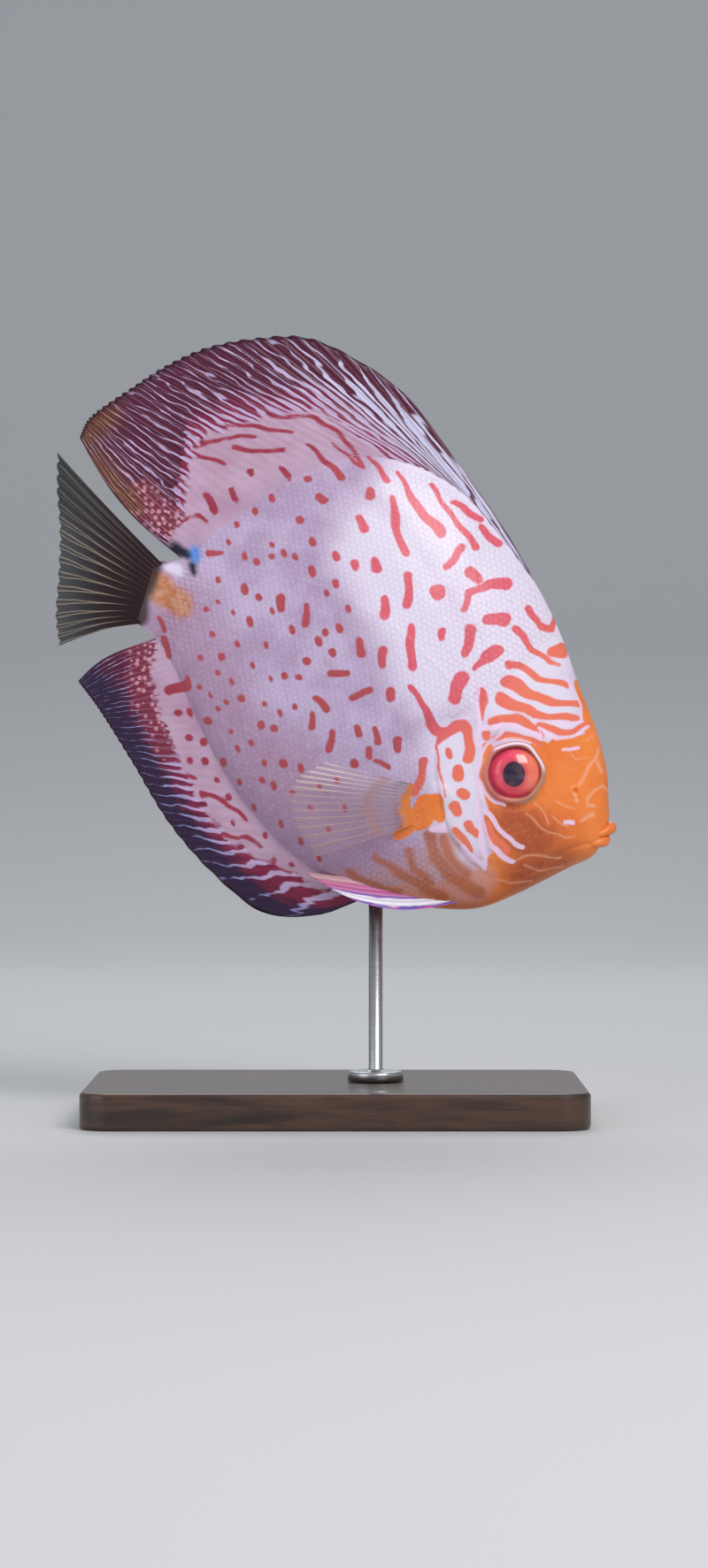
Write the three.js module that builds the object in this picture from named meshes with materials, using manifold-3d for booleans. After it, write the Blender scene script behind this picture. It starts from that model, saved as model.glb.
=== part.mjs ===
// A discus fish, life size, swimming nose-down on a plain display stand.
//
// The fish is built in its own frame: millimetres, the tip of the snout near the origin, +X forwards,
// +Z up towards the back and Y across, with the fish the same on both sides of Y = 0.
// The whole animal is lofted and joined first, then parted with thin cuts into the pieces that a person
// would name. The group that holds it is then pitched nose-down and lifted over the stand.
import * as THREE from 'three';
import { mergeVertices } from 'three/addons/utils/BufferGeometryUtils.js';
import Module from 'manifold-3d';

const wasm = await Module();
wasm.setup();

// Driving dimensions, in millimetres and degrees

const PITCH = 22; // nose-down, as the fish swims
const CUT = 0.3; // width of every parting cut, and the gap between pieces that meet
const BELLY_CLEARANCE = 50; // from the floor to the lowest point of the fish
const FIN_EDGE = 0.7; // thickness of a fin at its margin
const FIN_TAPER = 1.4; // how fast a fin thins from its root: 1 is a straight wedge
const SIDE_REACH = 30; // half the length of every tool that cuts right across the fish
const BLADE_STEPS_PER_POINT = 2;
const PROBE_RADIUS = 0.2;

const BASE = { length: 124, width: 84, height: 9, bevel: 1, corner: 8 };
const ROD = { radius: 1.75, x: 10, reach: 16, footRadius: 7, footHeight: 2.4, footBevel: 0.8, sides: 24 };

// The body: stations from the snout to the root of the tail. Each is a section that runs from its point on
// the belly line to its point on the back line, with its half width at the thickest level.
const STATIONS = [
  { back: [-1.4, 1.9], belly: [-1.0, -5.2], half: 3.0 },
  { back: [-3.4, 5.9], belly: [-2.6, -8.8], half: 5.0 },
  { back: [-7.0, 13.4], belly: [-6.2, -12.6], half: 6.9 },
  { back: [-13.0, 21.5], belly: [-10.8, -17.9], half: 8.9 },
  { back: [-21.0, 30.0], belly: [-16.8, -24.6], half: 10.6 },
  { back: [-30.4, 40.6], belly: [-24.0, -31.0], half: 12.0 },
  { back: [-41.0, 50.0], belly: [-34.0, -35.0], half: 13.5 },
  { back: [-53.0, 57.3], belly: [-46.0, -37.6], half: 14.5 },
  { back: [-66.0, 64.0], belly: [-59.0, -38.4], half: 14.3 },
  { back: [-80.0, 66.2], belly: [-73.0, -35.6], half: 13.0 },
  { back: [-93.0, 63.2], belly: [-87.0, -29.0], half: 11.0 },
  { back: [-104.0, 55.0], belly: [-99.0, -20.5], half: 8.8 },
  { back: [-113.0, 44.0], belly: [-109.0, -11.5], half: 6.6 },
  { back: [-120.0, 32.0], belly: [-117.0, -3.5], half: 4.8 },
  { back: [-125.5, 22.6], belly: [-124.0, 1.6], half: 3.5 },
  { back: [-131.5, 19.4], belly: [-130.0, 3.4], half: 2.6 },
];
const THICKEST = 0.44; // level of the thickest part, as a share of the depth above the belly line
const BACK_SHARPNESS = 1.3; // how wedge-like the section is above that level: 1 is a round ellipse
const BELLY_SHARPNESS = 1.1;
const BODY_STEPS = 32;
const BODY_SIDES = 20;

// The mouth: two lips, each a bar bent round the front of the jaws, and the cut between them
const LIP_RADIUS = 1.25;
const LIP_STEPS = 14;
const LIP_SIDES = 4;
const UPPER_LIP = [[-5.0, 3.3, -4.7], [-2.6, 3.6, -2.2], [-0.9, 2.3, -0.3], [-0.35, 0, 0.1]];
const LOWER_LIP = [[-4.8, 3.2, -6.6], [-2.7, 3.3, -5.1], [-1.1, 2.1, -4.2], [-0.6, 0, -4.0]];
const MOUTH_CUT = [[3, -1.6], [-0.6, -2.1], [-5.0, -5.7], [-10.5, -9.6], [-15.5, -27]];
const UPPER_JAW_CUT = [[2.5, 6.2], [-4.2, 4.2], [-8.0, -1.5], [-9.6, -9.2]];

// The eye: a flattened ball. Its depth is the distance of its centre from the middle of the fish, and
// about a third of it stands out of the head
const EYE = { x: -28.7, z: 3.8, radius: 7.2, half: 4.4, depth: 9.2 };
const EYE_GRID = [18, 12];

// The gill: the cut behind the gill covers parts the head from the trunk, and each cover is a plate in it
const HEAD_CUT = [
  [-35, 60], [-42, 40], [-47, 22], [-48.6, 9], [-48.2, 0], [-44, -8], [-39, -15], [-33, -20], [-27, -25], [-20, -37],
];
const GILL_COVER = [
  [-46.5, 9.6], [-41.4, 11.4], [-38.6, 7.6], [-37.6, 0], [-34.2, -7], [-31.4, -12], [-27.4, -18.6], [-27.8, -22],
  [-33, -24], [-41, -17], [-47, -8], [-51, 0], [-50.6, 8],
];
const GILL_COVER_BACK = 7.6; // distance of the plate's flat inner face from the middle of the fish

// The median fins. A ray joins each point of a root line to the point of the same place on a margin line
const DORSAL = {
  root: [[-40, 43], [-56, 53], [-69, 59.5], [-80, 60.5], [-90, 58.5], [-100, 52], [-110, 41.5], [-118, 29.5],
    [-123.5, 19.5]],
  margin: [[-39.5, 49.6], [-56, 61.9], [-73, 72.7], [-89, 82], [-104, 85.7], [-117.5, 86.1], [-129, 81.3],
    [-139.5, 74.6], [-147.5, 66.2], [-154, 56.8], [-160.5, 47], [-161.3, 41]],
  rootHalf: 2.0, columns: 28, rows: 3,
};
const ANAL = {
  root: [[-53, -33], [-60, -33.5], [-74, -29.5], [-90, -21.5], [-104, -10.5], [-114, -1.5], [-121.5, 6]],
  margin: [[-52.3, -40.6], [-60.5, -47.8], [-73.5, -52.4], [-89, -48], [-104, -40.3], [-118, -29.8], [-130.5, -20.8],
    [-138.6, -15.6]],
  rootHalf: 1.9, columns: 20, rows: 3,
};
const BOW_FROM = 0.8; // the share of a long fin's length behind which its rays bow out of straight lines
const ANAL_BOW = 2.6; // how far the last anal rays bow back
const DORSAL_BOW = { back: 1.5, down: 2.5 }; // how far the last dorsal rays bow, close to the caudal fin
const CAUDAL = {
  root: [[-127, 18.6], [-128, 16], [-128.4, 13], [-128.4, 10], [-128, 7], [-127, 4.4]],
  margin: [[-164.8, 35.8], [-161, 26.5], [-156.6, 17.4], [-153, 7.6], [-149.6, -2.6], [-146, -9.4]],
  rootHalf: 2.4, columns: 14, rows: 5,
};
const CAUDAL_TOP_DROP = 0.3; // how far the upper caudal rays sag below straight lines, clear of the dorsal fin
const CAUDAL_LOWER_LIFT = 1.4; // how far the lowest caudal rays rise, clear of the anal fin

// The paired fins, on the fish's left; the right ones are mirrored. Points are x, y, z. Each root line lies a
// little inside the body, and the body's own surface cuts the fin off
const PECTORAL = {
  root: [[-48.4, 11.6, -7.6], [-48.9, 11.4, -10.6], [-48.4, 11.0, -13.8], [-46.9, 10.4, -16.8]],
  margin: [[-74.5, 20.5, -12.6], [-78.5, 22.5, -20], [-76, 22, -28], [-67.5, 19.5, -34.4]],
  rootHalf: 1.7, columns: 8, rows: 6,
};
const PELVIC = {
  root: [[-28.2, 2.6, -30.2], [-30.6, 3.2, -29.8], [-33.6, 3.8, -29.6]],
  margin: [[-53.0, 4.6, -40.8], [-61, 4.3, -40], [-67.5, 4.0, -38.8]],
  rootHalf: 1.0, columns: 5, rows: 8,
};
const PELVIC_SAG = 2.3; // how far the pelvic fin's middle hangs below straight rays

// Where the fins are parted from the body, and the body and the long fins from their own parts
const DORSAL_CUT = [
  [-36, 50.6], [-41.5, 51.2], [-53, 58.5], [-66, 65.1], [-80, 67.4], [-93.6, 64.6], [-105, 56.2], [-114, 45],
  [-121, 33], [-126.6, 23.3], [-133, 20.8],
];
const ANAL_CUT = [
  [-50, -43], [-51.5, -38.8], [-59.2, -39.5], [-73.4, -36.7], [-87.6, -30], [-99.8, -21.5], [-109.8, -12.5],
  [-118, -4.5], [-124.6, 0.9], [-133, 2.6],
];
const TAIL_CUT = [[-129.6, 20.9], [-129.2, 18], [-129.2, 4.5], [-129.8, 1.4]];
const PEDUNCLE_CUT = [[-112, 60], [-116, 38], [-118, 15], [-114, -8], [-110, -20]];
const DORSAL_SPLIT = [[-76, 60.5], [-100, 76.5], [-127, 90]];
const ANAL_SPLIT = [[-68, -33], [-86, -54]];

const COLOURS = {
  flank: 0xd9bfd8, face: 0xe8823c, fin: 0x7a1f3c, tail: 0x2c1d24, clear: 0xc9b49c, eye: 0xd8324a,
  wood: 0x33241c, steel: 0xb9bcc0,
};
const FINISH = {
  living: { roughness: 0.45, metalness: 0 },
  wood: { roughness: 0.5, metalness: 0 },
  steel: { roughness: 0.3, metalness: 1 },
};

// A point inside each piece that the cuts leave
const INSIDE = {
  head: [-12, 0, 5], trunk: [-75, 0, 15], caudal_peduncle: [-123, 0, 12],
  upper_jaw: [-4.5, 0, 0], lower_jaw: [-6, 0, -9.5],
  dorsal_fin_spines: [-84, 0, 73], dorsal_fin_rays: [-125, 0, 65],
  anal_fin_spines: [-64, 0, -44], anal_fin_rays: [-108, 0, -28], caudal_fin: [-142, 0, 12],
};

// Curves and solids

const smoothCurve = (points, closed = false) => new THREE.CatmullRomCurve3(
  points.map((p) => (p.length === 3 ? new THREE.Vector3(...p) : new THREE.Vector3(p[0], 0, p[1]))),
  closed,
);

// A closed geometry as a solid that can be joined and cut. A geometry whose faces point in is turned.
function solidOf(geometry) {
  const bare = geometry.clone();
  bare.deleteAttribute('normal');
  bare.deleteAttribute('uv');
  const merged = mergeVertices(bare, 1e-4);
  const triVerts = new Uint32Array(merged.index.array);
  const mesh = () => new wasm.Mesh({ numProp: 3, vertProperties: merged.attributes.position.array, triVerts });
  const made = new wasm.Manifold(mesh());
  if (made.volume() > 0) return made;
  for (let i = 0; i < triVerts.length; i += 3) {
    [triVerts[i + 1], triVerts[i + 2]] = [triVerts[i + 2], triVerts[i + 1]];
  }
  return new wasm.Manifold(mesh());
}

function geometryOf(solid) {
  const mesh = solid.getMesh();
  return new THREE.BufferGeometry()
    .setAttribute('position', new THREE.BufferAttribute(new Float32Array(mesh.vertProperties), 3))
    .setIndex(new THREE.BufferAttribute(new Uint32Array(mesh.triVerts), 1))
    .toNonIndexed();
}

// Moves every vertex of a geometry to where place(vertex, index) says.
function reshape(geometry, place) {
  const at = geometry.attributes.position;
  const vertex = new THREE.Vector3();
  for (let i = 0; i < at.count; i += 1) {
    place(vertex.fromBufferAttribute(at, i), i);
    at.setXYZ(i, vertex.x, vertex.y, vertex.z);
  }
  return geometry;
}

// The body, as a ball whose poles are the mouth and the root of the tail
function body() {
  const back = smoothCurve(STATIONS.map((s) => s.back));
  const belly = smoothCurve(STATIONS.map((s) => s.belly));
  const width = smoothCurve(STATIONS.map((s) => [s.half, 0]));
  const ball = new THREE.SphereGeometry(1, BODY_SIDES, BODY_STEPS);
  const uv = ball.attributes.uv;
  return reshape(ball, (vertex, i) => {
    const step = Math.round((1 - uv.getY(i)) * BODY_STEPS);
    const isPole = step === 0 || step === BODY_STEPS;
    const along = THREE.MathUtils.clamp((step - 1) / (BODY_STEPS - 2), 0, 1);
    const round = Math.round(uv.getX(i) * BODY_SIDES) * ((2 * Math.PI) / BODY_SIDES);
    const level = isPole ? 0 : Math.sin(round);
    const share = THICKEST + level * (level > 0 ? 1 - THICKEST : THICKEST);
    const sharpness = level > 0 ? BACK_SHARPNESS : BELLY_SHARPNESS;
    const across = isPole ? 0 : Math.cos(round);
    vertex.lerpVectors(belly.getPoint(along), back.getPoint(along), share);
    vertex.y = width.getPoint(along).x * Math.sign(across) * Math.abs(across) ** sharpness;
  });
}

// A fin, as a thin box whose long faces follow the rays. bend moves a point of the sheet.
function fin({ root, margin, rootHalf, columns, rows }, bend = () => {}) {
  const rootLine = smoothCurve(root);
  const marginLine = smoothCurve(margin);
  return reshape(new THREE.BoxGeometry(1, 1, 1, columns, 1, rows), (vertex) => {
    const along = vertex.x + 0.5;
    const out = vertex.z + 0.5;
    const side = Math.sign(vertex.y);
    vertex.lerpVectors(rootLine.getPoint(along), marginLine.getPoint(along), out);
    bend(vertex, along, out);
    vertex.y += side * (FIN_EDGE / 2 + (rootHalf - FIN_EDGE / 2) * (1 - out) ** FIN_TAPER);
  });
}

// A lip, as a bar of round section from one corner of the mouth to the other
function lip(points) {
  const mirrored = points.slice(0, -1).reverse().map(([x, y, z]) => [x, -y, z]);
  const circle = new THREE.Shape().absarc(0, 0, LIP_RADIUS, 0, 2 * Math.PI);
  const path = smoothCurve([...points, ...mirrored]);
  return new THREE.ExtrudeGeometry(circle, { steps: LIP_STEPS, curveSegments: LIP_SIDES, extrudePath: path });
}

// A flat outline of x, z points, pushed across the fish from one distance y to another
function slab(outline, from, to) {
  const shape = new THREE.Shape(outline.map(([x, z]) => new THREE.Vector2(x, z)));
  const geometry = new THREE.ExtrudeGeometry(shape, { depth: to - from, bevelEnabled: false });
  return solidOf(geometry.rotateX(Math.PI / 2).translate(0, to, 0));
}

// A thin curved wall that parts whatever it passes through
function blade(points, closed = false, from = -SIDE_REACH) {
  const line = smoothCurve(points, closed);
  const steps = points.length * BLADE_STEPS_PER_POINT;
  const edge = (side) => Array.from({ length: closed ? steps : steps + 1 }, (_, i) => {
    const at = line.getPoint(i / steps);
    const tangent = line.getTangent(i / steps);
    return [at.x - (side * tangent.z * CUT) / 2, at.z + (side * tangent.x * CUT) / 2];
  });
  if (!closed) return slab([...edge(1), ...edge(-1).reverse()], from, SIDE_REACH);
  const rings = [1, -1].map((side) => slab(edge(side), from, SIDE_REACH)).sort((a, b) => b.volume() - a.volume());
  return rings[0].subtract(rings[1]);
}

// A closed outline rounded through its points
function roundedOutline(points) {
  const line = smoothCurve(points, true);
  const steps = points.length * BLADE_STEPS_PER_POINT;
  return Array.from({ length: steps }, (_, i) => line.getPoint(i / steps)).map((at) => [at.x, at.z]);
}

const mirrorAcross = (solid) => solid.mirror([0, 1, 0]);
const largestOf = (solid) => solid.decompose().sort((a, b) => b.volume() - a.volume())[0];

// The whole fish without its eyes and paired fins, joined

const trailing = (along, out) => (Math.max(0, along - BOW_FROM) / (1 - BOW_FROM)) * Math.sin(Math.PI * out);
const dorsalBend = (point, along, out) => {
  point.x -= DORSAL_BOW.back * trailing(along, out);
  point.z -= DORSAL_BOW.down * trailing(along, out);
};
const analBend = (point, along, out) => {
  point.x -= ANAL_BOW * trailing(along, out);
};
const caudalBend = (point, along, out) => {
  const bow = Math.sin(Math.PI * out);
  point.z += bow * (CAUDAL_LOWER_LIFT * along ** 2 - CAUDAL_TOP_DROP * (1 - along) ** 2);
};
const pelvicBend = (point, along, out) => {
  point.z -= PELVIC_SAG * Math.sin(Math.PI * out) * (1 - along);
};

const bodyAlone = solidOf(body());
const fish = [
  fin(DORSAL, dorsalBend), fin(ANAL, analBend), fin(CAUDAL, caudalBend), lip(UPPER_LIP), lip(LOWER_LIP),
].reduce((whole, geometry) => whole.add(solidOf(geometry)), bodyAlone);

// The eyes, and the sockets that hold them with a gap all round

function eyeball(extra = 0) {
  const [radius, half] = [EYE.radius + extra, EYE.half + extra];
  const ball = new THREE.SphereGeometry(1, ...EYE_GRID).scale(radius, half, radius);
  return solidOf(ball.translate(EYE.x, EYE.depth, EYE.z));
}
const socket = eyeball(CUT);

// The gill covers, and the pockets that hold them

const pocketBack = GILL_COVER_BACK - CUT;
const coverPlate = slab(roundedOutline(GILL_COVER), GILL_COVER_BACK, SIDE_REACH);
const coverRim = blade(GILL_COVER, true, pocketBack);
const gillCover = fish.intersect(coverPlate).subtract(coverRim);
const coverPocket = slab(roundedOutline(GILL_COVER), pocketBack, SIDE_REACH).add(coverRim);

// The paired fins, cut off by the body's surface with a gap

function pairedFin(shape, bend, gap) {
  return largestOf(solidOf(fin(shape, bend)).subtract(fish).subtract(fish.translate(gap)));
}
const pectoralFin = pairedFin(PECTORAL, undefined, [0, CUT, 0]);
const pelvicFin = pairedFin(PELVIC, pelvicBend, [0, CUT / 2, -CUT]);

// The rest, parted into its pieces: first the long fins from the body, then each of those into its own parts

// The piece of a cut solid that holds a given point
function pieceAt(solid, [x, y, z]) {
  const probe = solidOf(new THREE.OctahedronGeometry(PROBE_RADIUS).translate(x, y, z));
  return solid.decompose().find((piece) => piece.intersect(probe).volume() > 0);
}
const cutBy = (solid, ...lines) => lines.reduce((whole, points) => whole.subtract(blade(points)), solid);

const hollowed = [socket, coverPocket].reduce(
  (whole, tool) => whole.subtract(tool).subtract(mirrorAcross(tool)),
  fish,
);
const long = cutBy(hollowed, DORSAL_CUT, ANAL_CUT, TAIL_CUT);
const flesh = cutBy(pieceAt(long, INSIDE.trunk), HEAD_CUT, PEDUNCLE_CUT, MOUTH_CUT, UPPER_JAW_CUT);
const dorsal = cutBy(pieceAt(long, INSIDE.dorsal_fin_rays), DORSAL_SPLIT);
const anal = cutBy(pieceAt(long, INSIDE.anal_fin_rays), ANAL_SPLIT);

// The group

function mesh(name, geometry, color, finish = FINISH.living) {
  const made = new THREE.Mesh(geometry, new THREE.MeshStandardMaterial({ color, ...finish }));
  made.name = name;
  return made;
}

const swimmer = new THREE.Group();
const PARTED = {
  head: [flesh, COLOURS.face], trunk: [flesh, COLOURS.flank], caudal_peduncle: [flesh, COLOURS.face],
  upper_jaw: [flesh, COLOURS.face], lower_jaw: [flesh, COLOURS.face],
  dorsal_fin_spines: [dorsal, COLOURS.fin], dorsal_fin_rays: [dorsal, COLOURS.fin],
  anal_fin_spines: [anal, COLOURS.fin], anal_fin_rays: [anal, COLOURS.fin], caudal_fin: [long, COLOURS.tail],
};
for (const [name, [solid, color]] of Object.entries(PARTED)) {
  swimmer.add(mesh(name, geometryOf(pieceAt(solid, INSIDE[name])), color));
}
const PAIRED = {
  eye: [eyeball(), COLOURS.eye], gill_cover: [gillCover, COLOURS.face], pectoral_fin: [pectoralFin, COLOURS.clear],
  pelvic_fin: [pelvicFin, COLOURS.fin],
};
for (const [name, [solid, color]] of Object.entries(PAIRED)) {
  swimmer.add(mesh(`${name}_left`, geometryOf(solid), color));
  swimmer.add(mesh(`${name}_right`, geometryOf(mirrorAcross(solid)), color));
}

// The fish pitched nose-down about Y, with its box centred over the stand
const pitched = fish.rotate([0, PITCH, 0]);
const box = pitched.boundingBox();
swimmer.rotation.y = THREE.MathUtils.degToRad(PITCH);
swimmer.position.set(-(box.min[0] + box.max[0]) / 2, 0, BELLY_CLEARANCE - box.min[2]);

function standBase() {
  const { length, width, height, bevel, corner } = BASE;
  const [halfLength, halfWidth] = [length / 2 - bevel, width / 2 - bevel];
  const plate = new THREE.Shape();
  plate.absarc(halfLength - corner, halfWidth - corner, corner, 0, Math.PI / 2);
  plate.absarc(corner - halfLength, halfWidth - corner, corner, Math.PI / 2, Math.PI);
  plate.absarc(corner - halfLength, corner - halfWidth, corner, Math.PI, 1.5 * Math.PI);
  plate.absarc(halfLength - corner, corner - halfWidth, corner, 1.5 * Math.PI, 2 * Math.PI);
  const thickness = height - bevel;
  return new THREE.ExtrudeGeometry(plate, {
    depth: thickness - bevel, bevelSize: bevel, bevelThickness: bevel, bevelSegments: 1, curveSegments: 4,
  }).translate(0, 0, bevel);
}

// The rod, with its foot on the base, up to the belly in the middle of the fish
function standRod() {
  const { radius, x, reach, footRadius, footHeight, footBevel, sides } = ROD;
  const bottom = BASE.height + CUT;
  const footTop = bottom + footHeight;
  const profile = [
    [0, bottom], [footRadius, bottom], [footRadius, footTop - footBevel], [footRadius - footBevel, footTop],
    [radius, footTop], [radius, BELLY_CLEARANCE + reach], [0, BELLY_CLEARANCE + reach],
  ];
  const lathe = new THREE.LatheGeometry(profile.map(([r, z]) => new THREE.Vector2(r, z)), sides);
  const rod = solidOf(lathe.rotateX(Math.PI / 2).translate(x, 0, 0));
  const { x: fishX, z: fishZ } = swimmer.position;
  const belly = pitched.translate([fishX, 0, fishZ]);
  return geometryOf(largestOf(rod.subtract(belly).subtract(belly.translate([0, 0, -CUT]))));
}

const group = new THREE.Group();
group.add(swimmer);
group.add(mesh('stand_base', standBase(), COLOURS.wood, FINISH.wood));
group.add(mesh('stand_rod', standRod(), COLOURS.steel, FINISH.steel));

export default group;
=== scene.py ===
# A discus fish, life size, held nose-down on a plain display stand, as a museum shows it.
import math

import bmesh
import bpy
import numpy as np
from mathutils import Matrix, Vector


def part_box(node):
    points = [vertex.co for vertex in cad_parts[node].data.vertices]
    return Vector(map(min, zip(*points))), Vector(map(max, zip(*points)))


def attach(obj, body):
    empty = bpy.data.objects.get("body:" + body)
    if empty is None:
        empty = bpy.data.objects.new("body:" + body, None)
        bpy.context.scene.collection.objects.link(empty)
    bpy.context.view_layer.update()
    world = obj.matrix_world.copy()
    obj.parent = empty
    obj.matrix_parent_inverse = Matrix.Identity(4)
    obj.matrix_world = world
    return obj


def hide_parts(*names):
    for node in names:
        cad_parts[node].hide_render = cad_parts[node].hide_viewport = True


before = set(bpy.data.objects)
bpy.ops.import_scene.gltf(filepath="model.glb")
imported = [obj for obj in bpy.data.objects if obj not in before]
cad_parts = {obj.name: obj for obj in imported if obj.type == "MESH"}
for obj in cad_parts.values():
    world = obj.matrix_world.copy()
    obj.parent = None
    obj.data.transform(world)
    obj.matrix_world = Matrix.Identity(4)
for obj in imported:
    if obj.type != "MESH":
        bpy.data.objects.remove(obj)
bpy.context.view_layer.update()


# Camera, lights and sweep
# The camera looks level along +Y at the fish's right side, and frames 394 mm of height a metre away.
# One large soft lamp stands above and before the fish's head, and a weaker one behind its tail.
MM_PER_PIXEL = 0.222
PHOTO_SIZE = (800, 1773)
PHOTO_SNOUT = (692, 938)
SNOUT = (0.0694, 0.0722)
CAMERA_DISTANCE = 1.0
SENSOR = 36.0

camera_data = bpy.data.cameras.new("camera")
camera_data.sensor_width = SENSOR
camera_data.lens = SENSOR * CAMERA_DISTANCE / (PHOTO_SIZE[1] * MM_PER_PIXEL / 1000)
camera = bpy.data.objects.new("camera", camera_data)
camera.location = (
    SNOUT[0] + (PHOTO_SIZE[0] / 2 - PHOTO_SNOUT[0]) * MM_PER_PIXEL / 1000,
    -CAMERA_DISTANCE,
    SNOUT[1] + (PHOTO_SNOUT[1] - PHOTO_SIZE[1] / 2) * MM_PER_PIXEL / 1000,
)
camera.rotation_euler = (math.pi / 2, 0, 0)
bpy.context.collection.objects.link(camera)
bpy.context.scene.camera = camera
bpy.context.scene.view_settings.view_transform = "Standard"

AIM_HEIGHT = 0.11
SKY_COLOUR, SKY_STRENGTH = (0.86, 0.9, 0.95), 0.42
LAMPS = {
    "key_lamp": dict(place=(0.45, -0.75, 0.75), size=0.5, power=7.0, colour=(1.0, 0.97, 0.94)),
    "tail_lamp": dict(place=(-0.8, -0.6, 0.35), size=0.7, power=2.2, colour=(0.86, 0.9, 1.0)),
    "back_lamp": dict(place=(0.0, 0.8, 0.8), size=0.7, power=3.5, colour=(1.0, 1.0, 1.0)),
}
for name, lamp in LAMPS.items():
    light = bpy.data.lights.new(name, "AREA")
    light.size = lamp["size"]
    light.energy = lamp["power"]
    light.color = lamp["colour"]
    holder = bpy.data.objects.new(name, light)
    holder.location = lamp["place"]
    right, away, up = lamp["place"]
    tilt = math.atan2(math.hypot(right, away), up - AIM_HEIGHT)
    holder.rotation_euler = (tilt, 0, math.atan2(-away, -right) - math.pi / 2)
    bpy.context.collection.objects.link(holder)

world = bpy.data.worlds.new("world")
world.use_nodes = True
sky = world.node_tree.nodes["Background"]
sky.inputs["Color"].default_value = (*SKY_COLOUR, 1)
sky.inputs["Strength"].default_value = SKY_STRENGTH
bpy.context.scene.world = world

SWEEP = dict(half_width=4.0, front=-2.5, bend_start=0.9, bend_radius=0.7, height=3.0, steps=60)


def object_from(bm, name, material=None, smooth=True):
    """Turns a bmesh into an object of that name and links it."""
    mesh = bpy.data.meshes.new(name)
    bm.to_mesh(mesh)
    bm.free()
    mesh.shade_smooth() if smooth else mesh.shade_flat()
    made = bpy.data.objects.new(name, mesh)
    if material:
        mesh.materials.append(material)
    bpy.context.collection.objects.link(made)
    return made


def plain_material(name, colour, roughness, metallic=0.0):
    """A node material with its Principled shader, ready for more nodes."""
    material = bpy.data.materials.new(name)
    material.use_nodes = True
    shader = material.node_tree.nodes["Principled BSDF"]
    shader.inputs["Base Color"].default_value = (*colour, 1)
    shader.inputs["Roughness"].default_value = roughness
    shader.inputs["Metallic"].default_value = metallic
    return material, material.node_tree, shader


bm = bmesh.new()
bmesh.ops.create_grid(bm, x_segments=2, y_segments=SWEEP["steps"], size=1)
flat_run = SWEEP["bend_start"] - SWEEP["front"]
arc_run = SWEEP["bend_radius"] * math.pi / 2
for vert in bm.verts:
    run = (vert.co.y + 1) / 2 * (flat_run + arc_run + SWEEP["height"])
    turned = min(max(run - flat_run, 0), arc_run) / SWEEP["bend_radius"]
    risen = max(run - flat_run - arc_run, 0)
    vert.co = (
        vert.co.x * SWEEP["half_width"],
        SWEEP["front"] + min(run, flat_run) + SWEEP["bend_radius"] * math.sin(turned),
        SWEEP["bend_radius"] * (1 - math.cos(turned)) + risen,
    )
sweep_material, _, _ = plain_material("sweep_paint", (0.62, 0.63, 0.65), 0.7)
object_from(bm, "sweep", sweep_material)


# The skin of the body, back fin and belly fin
# One closed skin over the head, trunk and root of the tail, drawn out above and below into the two long
# fins. It starts as a ball whose poles are the mouth and the tail root. Millimetres, in the fish's frame:
# x forwards from the snout, z up and y to its left; the frame is pitched nose-down over the stand.
PITCH = math.radians(22)
STATIONS = [
    # back x, z; belly x, z; half width
    (-1.4, 1.9, -1.0, -5.2, 3.0),
    (-3.4, 5.9, -2.6, -8.8, 5.0),
    (-7.0, 13.4, -6.2, -12.6, 6.9),
    (-13.0, 21.5, -10.8, -17.9, 8.9),
    (-21.0, 30.0, -16.8, -24.6, 10.6),
    (-30.4, 40.6, -24.0, -31.0, 12.0),
    (-41.0, 50.0, -34.0, -35.0, 13.5),
    (-53.0, 57.3, -46.0, -37.6, 14.5),
    (-66.0, 64.0, -59.0, -38.4, 14.3),
    (-80.0, 66.2, -73.0, -35.6, 13.0),
    (-93.0, 63.2, -87.0, -29.0, 11.0),
    (-104.0, 55.0, -99.0, -20.5, 8.8),
    (-113.0, 44.0, -109.0, -11.5, 6.6),
    (-120.0, 32.0, -117.0, -3.5, 4.8),
    (-125.5, 22.6, -124.0, 1.6, 3.5),
    (-131.5, 19.4, -130.0, 3.4, 2.6),
]
THICKEST = 0.44
BACK_SHARPNESS = 1.3
BELLY_SHARPNESS = 1.1
COAT_DEPTH = 0.12
DORSAL_MARGIN = [
    (-39.5, 49.2), (-56, 61.7), (-73, 72.5), (-89, 81.8), (-104, 85.5), (-117.5, 85.9), (-129, 81.1),
    (-139.5, 74.4), (-147.5, 66.2), (-154, 57.0), (-160.3, 47.2), (-161.0, 41.2),
]
ANAL_MARGIN = [
    (-52.3, -40.4), (-60.5, -47.6), (-73.5, -52.2), (-89, -47.8), (-104, -40.1), (-118, -29.6),
    (-130.3, -20.7), (-138.4, -15.7),
]
DORSAL_SPAN = (0.405, 0.935)
ANAL_SPAN = (0.5, 0.935)
BOW_FROM = 0.8
DORSAL_BOW, ANAL_BOW = (1.5, 2.5), (2.6, 0.0)
DORSAL_SWEEP = 0.52
ANAL_SWEEP = 0.46
FIN_NOTCH = 0.012
RAY_CROWDING = 1.35
FIN_ROOT = 1.35
FIN_MARGIN = 0.28
RAYS = dict(dorsal=34, anal=30)
RAY_RELIEF = 0.06
COLUMNS = 372
ANAL_ROWS, BODY_ROWS, DORSAL_ROWS = 22, 160, 34
FIN_COLOUR_TURN = 0.98
FIN_COLOUR_START, FIN_COLOUR_END = (-0.06, 0.03), 1.08
ANAL_LANE = 100
MOUTH_TUCK = 2.6
TAIL_ROOT_TAPER = 0.3
EVEN_ROWS = 0.64
RING = 2 * (ANAL_ROWS + BODY_ROWS + DORSAL_ROWS)

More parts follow.
